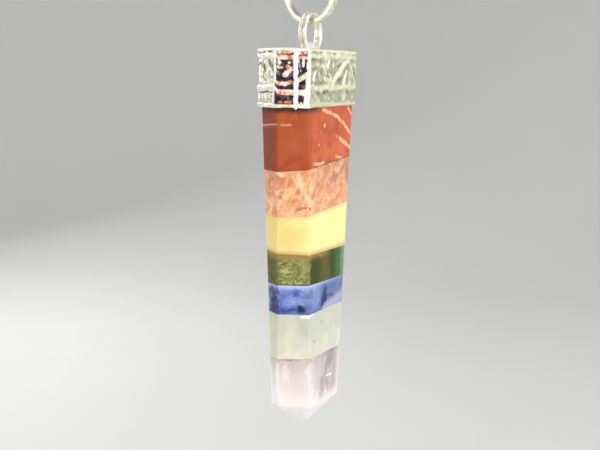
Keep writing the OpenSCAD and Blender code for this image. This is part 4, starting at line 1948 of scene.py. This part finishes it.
@dataclass
class CutStone:
    """One stone of the point, ground on six sides, with softened ridges and crisp joints."""

    kind: StoneKind
    finish: StoneFinish
    axis_x: float
    ridge_round: float = 0.17
    level_round: float = 0.09
    joint_bevel: float = 0.018
    row_step: float = 0.11
    wide_side: float = 6.0
    wide_columns: int = 84
    narrow_columns: int = 30
    crowding: float = 0.6
    bevel_rows: tuple[float, ...] = (0.0, 0.3, 1.0)
    least_rows: int = 8
    least_reach: float = 0.5
    row_samples: int = 7
    waves: Layers = ((0.014, 2.1, 0), (0.005, 0.7, 1))
    sunk: float = 0.01
    calm_level: float = 0.3
    calm_reach: float = 0.45
    nick_depth: float = 0.05
    nick_reach: float = 0.3
    nick_cell: float = 0.4
    nick_rise: Span = (0.45, 0.8)
    seed: int = 0

    def corners(self) -> Array:
        """Reads the stone's corners from its CAD node.

        Returns:
            Rings of six corners from the highest down, each in the order of the ridges.
        """
        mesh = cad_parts[self.kind.value].data
        points = np.empty(len(mesh.vertices) * 3, dtype=np.float32)
        mesh.vertices.foreach_get("co", points)
        corners = np.unique(np.round(points.reshape(-1, 3).astype(float) / MM, 3), axis=0)
        angle = np.arctan2(corners[:, 1], corners[:, 0] - self.axis_x)
        turned = np.exp(1j * (angle[:, None] - np.radians(RIDGE_ANGLES)))
        ridge = np.abs(np.angle(turned)).argmin(axis=1)
        order = np.lexsort((-corners[:, 2], ridge))
        return corners[order].reshape(len(RIDGE_ANGLES), -1, 3).transpose(1, 0, 2)

    def columns(self, lengths: Array) -> tuple[Array, Array]:
        """Places round the stone, crowded towards the ridges by a mix of even and cosine steps.

        Args:
            lengths: Length of each side.

        Returns:
            Lengths along the outline, and distances from the nearest ridge.
        """
        starts = np.concatenate([[0.0], np.cumsum(lengths)])[:-1]
        counts = np.where(lengths > self.wide_side, self.wide_columns, self.narrow_columns)
        stations, from_ridge = [], []
        for start, length, count in zip(starts, lengths, counts):
            even = np.arange(count) / count
            crowded = 0.5 - 0.5 * np.cos(np.pi * even)
            part = self.crowding * crowded + (1.0 - self.crowding) * even
            stations.append(start + length * part)
            from_ridge.append(length * np.minimum(part, 1.0 - part))
        return np.concatenate(stations), np.concatenate(from_ridge)

    def grid(self) -> tuple[Array, Array, Array]:
        """The stone's sides as a grid.

        Each column mixes the corners of a ring in fixed shares, and each row mixes the rings
        above and below it, averaged over a short stretch so that level ridges are rounded too.

        Returns:
            The points, and their distances from the nearest ridge and the nearest joint.
        """
        corners = self.corners()
        lengths = side_lengths(corners[0])
        stations, from_ridge = self.columns(lengths)
        shares = corner_shares(lengths, stations, self.ridge_round)
        steps = np.linalg.norm(np.diff(corners, axis=0), axis=2).mean(axis=1)
        knots = np.concatenate([[0.0], np.cumsum(steps)])
        depth = knots[-1]
        bevels = np.array(self.bevel_rows) * self.joint_bevel * 2.0
        count = max(int(depth / self.row_step), self.least_rows)
        inner = np.linspace(bevels[-1] * 2, depth - bevels[-1] * 2, count)
        down = np.concatenate([bevels, inner, depth - bevels[::-1]])
        from_end = np.minimum(down, depth - down)
        window = np.minimum(self.level_round, from_end)
        places = down[:, None] + window[:, None] * np.linspace(-1.0, 1.0, self.row_samples)
        hats = np.stack([np.interp(places, knots, row) for row in np.eye(len(knots))], axis=-1)
        points = np.einsum("rn,nkd,ck->rcd", hats.mean(axis=1), corners, shares)
        inset = self.joint_bevel * (1.0 - soft_step(0.0, bevels[-1], from_end))
        middle = points.mean(axis=1, keepdims=True)
        reach = np.linalg.norm(points - middle, axis=2, keepdims=True).clip(self.least_reach)
        points = middle + (points - middle) * (1.0 - inset[:, None, None] / reach)
        from_joint = down if self.kind is StoneKind.VIOLET else from_end
        from_level = np.abs(down[:, None] - np.append(knots[1:-1], np.inf)).min(axis=1)
        to_ridge = np.minimum(from_ridge[None, :], from_level[:, None])
        return points, to_ridge, np.broadcast_to(from_joint[:, None], to_ridge.shape)

    def surface(self) -> Surface:
        """The grid made uneven: slow waves left by grinding, and small nicks along the ridges.

        Each point moves along its normal by the sum of two noises, less beside the joints, and
        inwards where it is near a ridge and a third noise is high.

        Returns:
            The stone.
        """
        points, from_ridge, from_joint = self.grid()
        normal = grid_normals(points)
        layers = tuple((strength, cell, self.seed + nth) for strength, cell, nth in self.waves)
        waves = layered_noise(points, layers) - self.sunk
        near_ridge = 1.0 - soft_step(0.0, self.nick_reach, from_ridge)
        noise = lattice_noise(points, self.nick_cell, self.seed + len(layers))
        nicks = self.nick_depth * near_ridge * soft_step(*self.nick_rise, noise)
        rising = soft_step(0.0, self.calm_reach, from_joint)
        calm = self.calm_level + (1.0 - self.calm_level) * rising
        points = points + normal * (waves * calm - nicks)[..., None]
        return capped_tube(points, {"from_joint": from_joint})

    def build(self) -> None:
        """Makes the stone in place of its CAD node."""
        made = make_object(self.kind.value + "_cut", self.surface(), self.finish.material())
        finish_piece(made, Body.PENDANT, self.finish.name, self.kind.value)


@dataclass
class GlueLine:
    """The film of glue between two stones, flush with their sides."""

    above: CutStone
    below: CutStone
    finish: Resin
    shrink: float = 0.996
    ridge_round: float = 0.11
    steps: int = 240
    rows: int = 5
    margin: float = 0.02

    def surface(self) -> Surface:
        """A thin slab from the lower ring of the stone above to the upper ring of the one below.

        Its rows mix both rings in even shares, and lie slightly inside the stones' sides.

        Returns:
            The film.
        """
        upper, lower = self.above.corners()[-1], self.below.corners()[0]
        lengths = side_lengths(upper)
        stations = np.linspace(0.0, lengths.sum(), self.steps, endpoint=False)
        shares = corner_shares(lengths, stations, self.ridge_round)
        down = np.linspace(self.margin, 1.0 - self.margin, self.rows)[:, None, None]
        rows = (shares @ upper) * (1.0 - down) + (shares @ lower) * down
        middle = rows.mean(axis=1, keepdims=True)
        return capped_tube(middle + (rows - middle) * self.shrink)

    def build(self) -> None:
        """Makes the film, which stands for no node and is reported with the slot of the stone above it.
        """
        name = f"glue_{self.above.kind.name}_{self.below.kind.name}".lower()
        made = make_object(name, self.surface(), self.finish.material())
        finish_piece(made, Body.PENDANT, self.above.finish.name)


@dataclass
class Pendant:
    """All that hangs in the ring: cap, stones and the glue between them."""

    cap: StampedCap = field(default_factory=StampedCap)

    def stones(self) -> list[CutStone]:
        """Lists the stones, each with its finish, whose name is also reported as its material slot.

        Returns:
            The seven stones from the cap down.
        """
        x = self.cap.axis_x
        return [
            CutStone(StoneKind.RED, RedJasper(), x, seed=110),
            CutStone(StoneKind.ORANGE, OrangeStone(), x, seed=120),
            CutStone(StoneKind.YELLOW, YellowStone(), x, seed=130),
            CutStone(StoneKind.GREEN, GreenStone(), x, seed=140),
            CutStone(StoneKind.BLUE, BlueStone(), x, seed=150),
            CutStone(StoneKind.WHITE, WhiteStone(), x, ridge_round=0.1, seed=160),
            CutStone(StoneKind.VIOLET, VioletStone(), x, ridge_round=0.1, seed=170),
        ]

    def glue_lines(self) -> list[GlueLine]:
        """Lists the films of glue, each with its own tone and stain.

        Returns:
            The six films from the cap down.
        """
        tones = (
            Resin("glue_brown", srgb(240, 170, 130), srgb(70, 36, 28), (-4.8, -3.6)),
            Resin("glue_amber", srgb(246, 206, 140), srgb(236, 170, 110)),
            Resin("glue_moss", srgb(206, 196, 116), srgb(160, 150, 80)),
            Resin("glue_slate", srgb(150, 160, 150), srgb(50, 56, 50), (-3.8, -5.0)),
            Resin("glue_pearl", srgb(226, 230, 232), srgb(190, 200, 222)),
            Resin("glue_tan", srgb(232, 220, 208), srgb(186, 164, 150)),
        )
        stones = self.stones()
        return [GlueLine(*between) for between in zip(stones, stones[1:], tones)]

    def build(self) -> None:
        """Makes every piece of the pendant."""
        self.cap.build()
        for piece in (*self.stones(), *self.glue_lines()):
            piece.build()


@dataclass
class Studio:
    """Pale floor that sweeps up all round, soft lights, and the camera at the photograph's angle."""

    floor_level: float = -160.0
    floor_radius: float = 420.0
    sweep_radius: float = 260.0
    wall_height: float = 520.0
    floor_steps: int = 96
    flat_rings: int = 12
    bend_rings: int = 16
    lit_point: Place = (0.0, 0.0, -26.0)
    sky_strength: float = 0.5
    lens: float = 45.0
    sensor_width: float = 36.0
    sight_end: float = 10000.0
    camera_place: Place = (-74.64, -39.17, -10.93)
    heading: float = 61.63
    dip: float = 11.29
    roll: float = 0.433

    def floor(self) -> None:
        """A flat disc, a quarter circle up and a short wall, turned about the upright axis."""
        bend = np.linspace(0.0, np.pi / 2.0, self.bend_rings)
        flat = np.linspace(1.0, self.floor_radius, self.flat_rings)[:-1]
        reach = np.concatenate([flat, self.floor_radius + self.sweep_radius * np.sin(bend)])
        rise = np.concatenate([0.0 * flat, self.sweep_radius * (1.0 - np.cos(bend))])
        reach, rise = np.append(reach, reach[-1]), np.append(rise, rise[-1] + self.wall_height)
        turn = full_turn(self.floor_steps)
        x, y = reach[:, None] * np.cos(turn), reach[:, None] * np.sin(turn)
        rows = np.stack([x, y, rise[:, None] + self.floor_level + 0.0 * x], axis=-1)
        index = np.arange(rows[..., 0].size).reshape(rows.shape[:2])
        points = np.concatenate([rows.reshape(-1, 3), [[0.0, 0.0, self.floor_level]]])
        disc = Surface(points, ring_faces(index[:-1], index[1:]), fan_faces(index.size, index[0]))
        make_object("floor", disc, PaleSweep().material())

    def lights(self) -> None:
        """Lights before and behind the wide sides, weak ones between them, and a soft even sky.

        Each lamp is a square that the camera itself doesn't see. It has a place and a side
        length in millimetres and a power in watts, and looks at the pendant's middle.
        """
        lamps = (
            ("key", (0.0, -400.0, 130.0), 260.0, 0.99),
            ("front", (-330.0, -250.0, 20.0), 220.0, 0.31),
            ("fill", (-380.0, 200.0, 60.0), 240.0, 0.4),
            ("top", (0.0, 40.0, 420.0), 320.0, 0.34),
            ("rear", (200.0, 400.0, 120.0), 300.0, 1.05),
            ("right", (370.0, -200.0, 40.0), 300.0, 0.14),
        )
        for name, place, size, power in lamps:
            lamp = bpy.data.lights.new(name, "AREA")
            lamp.size, lamp.energy = size * MM, power
            light = bpy.data.objects.new(name, lamp)
            aim = (Vector(self.lit_point) - Vector(place)).to_track_quat("-Z", "Y")
            light.matrix_world = Matrix.Translation(Vector(place) * MM) @ aim.to_matrix().to_4x4()
            light.visible_camera = False
            bpy.context.scene.collection.objects.link(light)
        world = bpy.data.worlds.new("studio")
        world.use_nodes = True
        background = world.node_tree.nodes["Background"]
        background.inputs["Color"].default_value = (1.0, 1.0, 1.0, 1.0)
        background.inputs["Strength"].default_value = self.sky_strength
        bpy.context.scene.world = world
        bpy.context.scene.view_settings.view_transform = "Standard"

    def camera(self) -> None:
        """Sets the camera from its heading, dip and roll.

        It looks along the heading, measured from +Y towards +X, and down by the dip. Its right
        and up are then turned about the line of sight by the roll.
        """
        lens = bpy.data.cameras.new("camera")
        lens.lens, lens.sensor_width = self.lens, self.sensor_width
        lens.clip_start, lens.clip_end = MM, self.sight_end * MM
        camera = bpy.data.objects.new("camera", lens)
        psi, dip, roll = (math.radians(a) for a in (self.heading, self.dip, self.roll))
        ahead = Vector((math.cos(dip) * math.sin(psi), math.cos(dip) * math.cos(psi), -math.sin(dip)))
        level = Vector((math.cos(psi), -math.sin(psi), 0.0))
        upright = level.cross(ahead)
        right = level * math.cos(roll) + upright * math.sin(roll)
        up = upright * math.cos(roll) - level * math.sin(roll)
        turn = Matrix((right, up, -ahead)).transposed().to_4x4()
        camera.matrix_world = Matrix.Translation(Vector(self.camera_place) * MM) @ turn
        bpy.context.scene.collection.objects.link(camera)
        bpy.context.scene.camera = camera

    def build(self) -> None:
        """Makes floor, lights and camera."""
        self.camera()
        self.floor()
        self.lights()
        LOG.info("studio: floor at %.0f mm, lens %.0f mm", self.floor_level, self.lens)


def main() -> None:
    """Builds studio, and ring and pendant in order."""
    logging.basicConfig(level=logging.INFO, format="%(name)s: %(message)s")
    Studio().build()
    JumpRing().build()
    Pendant().build()


if __name__ == "__main__":
    main()
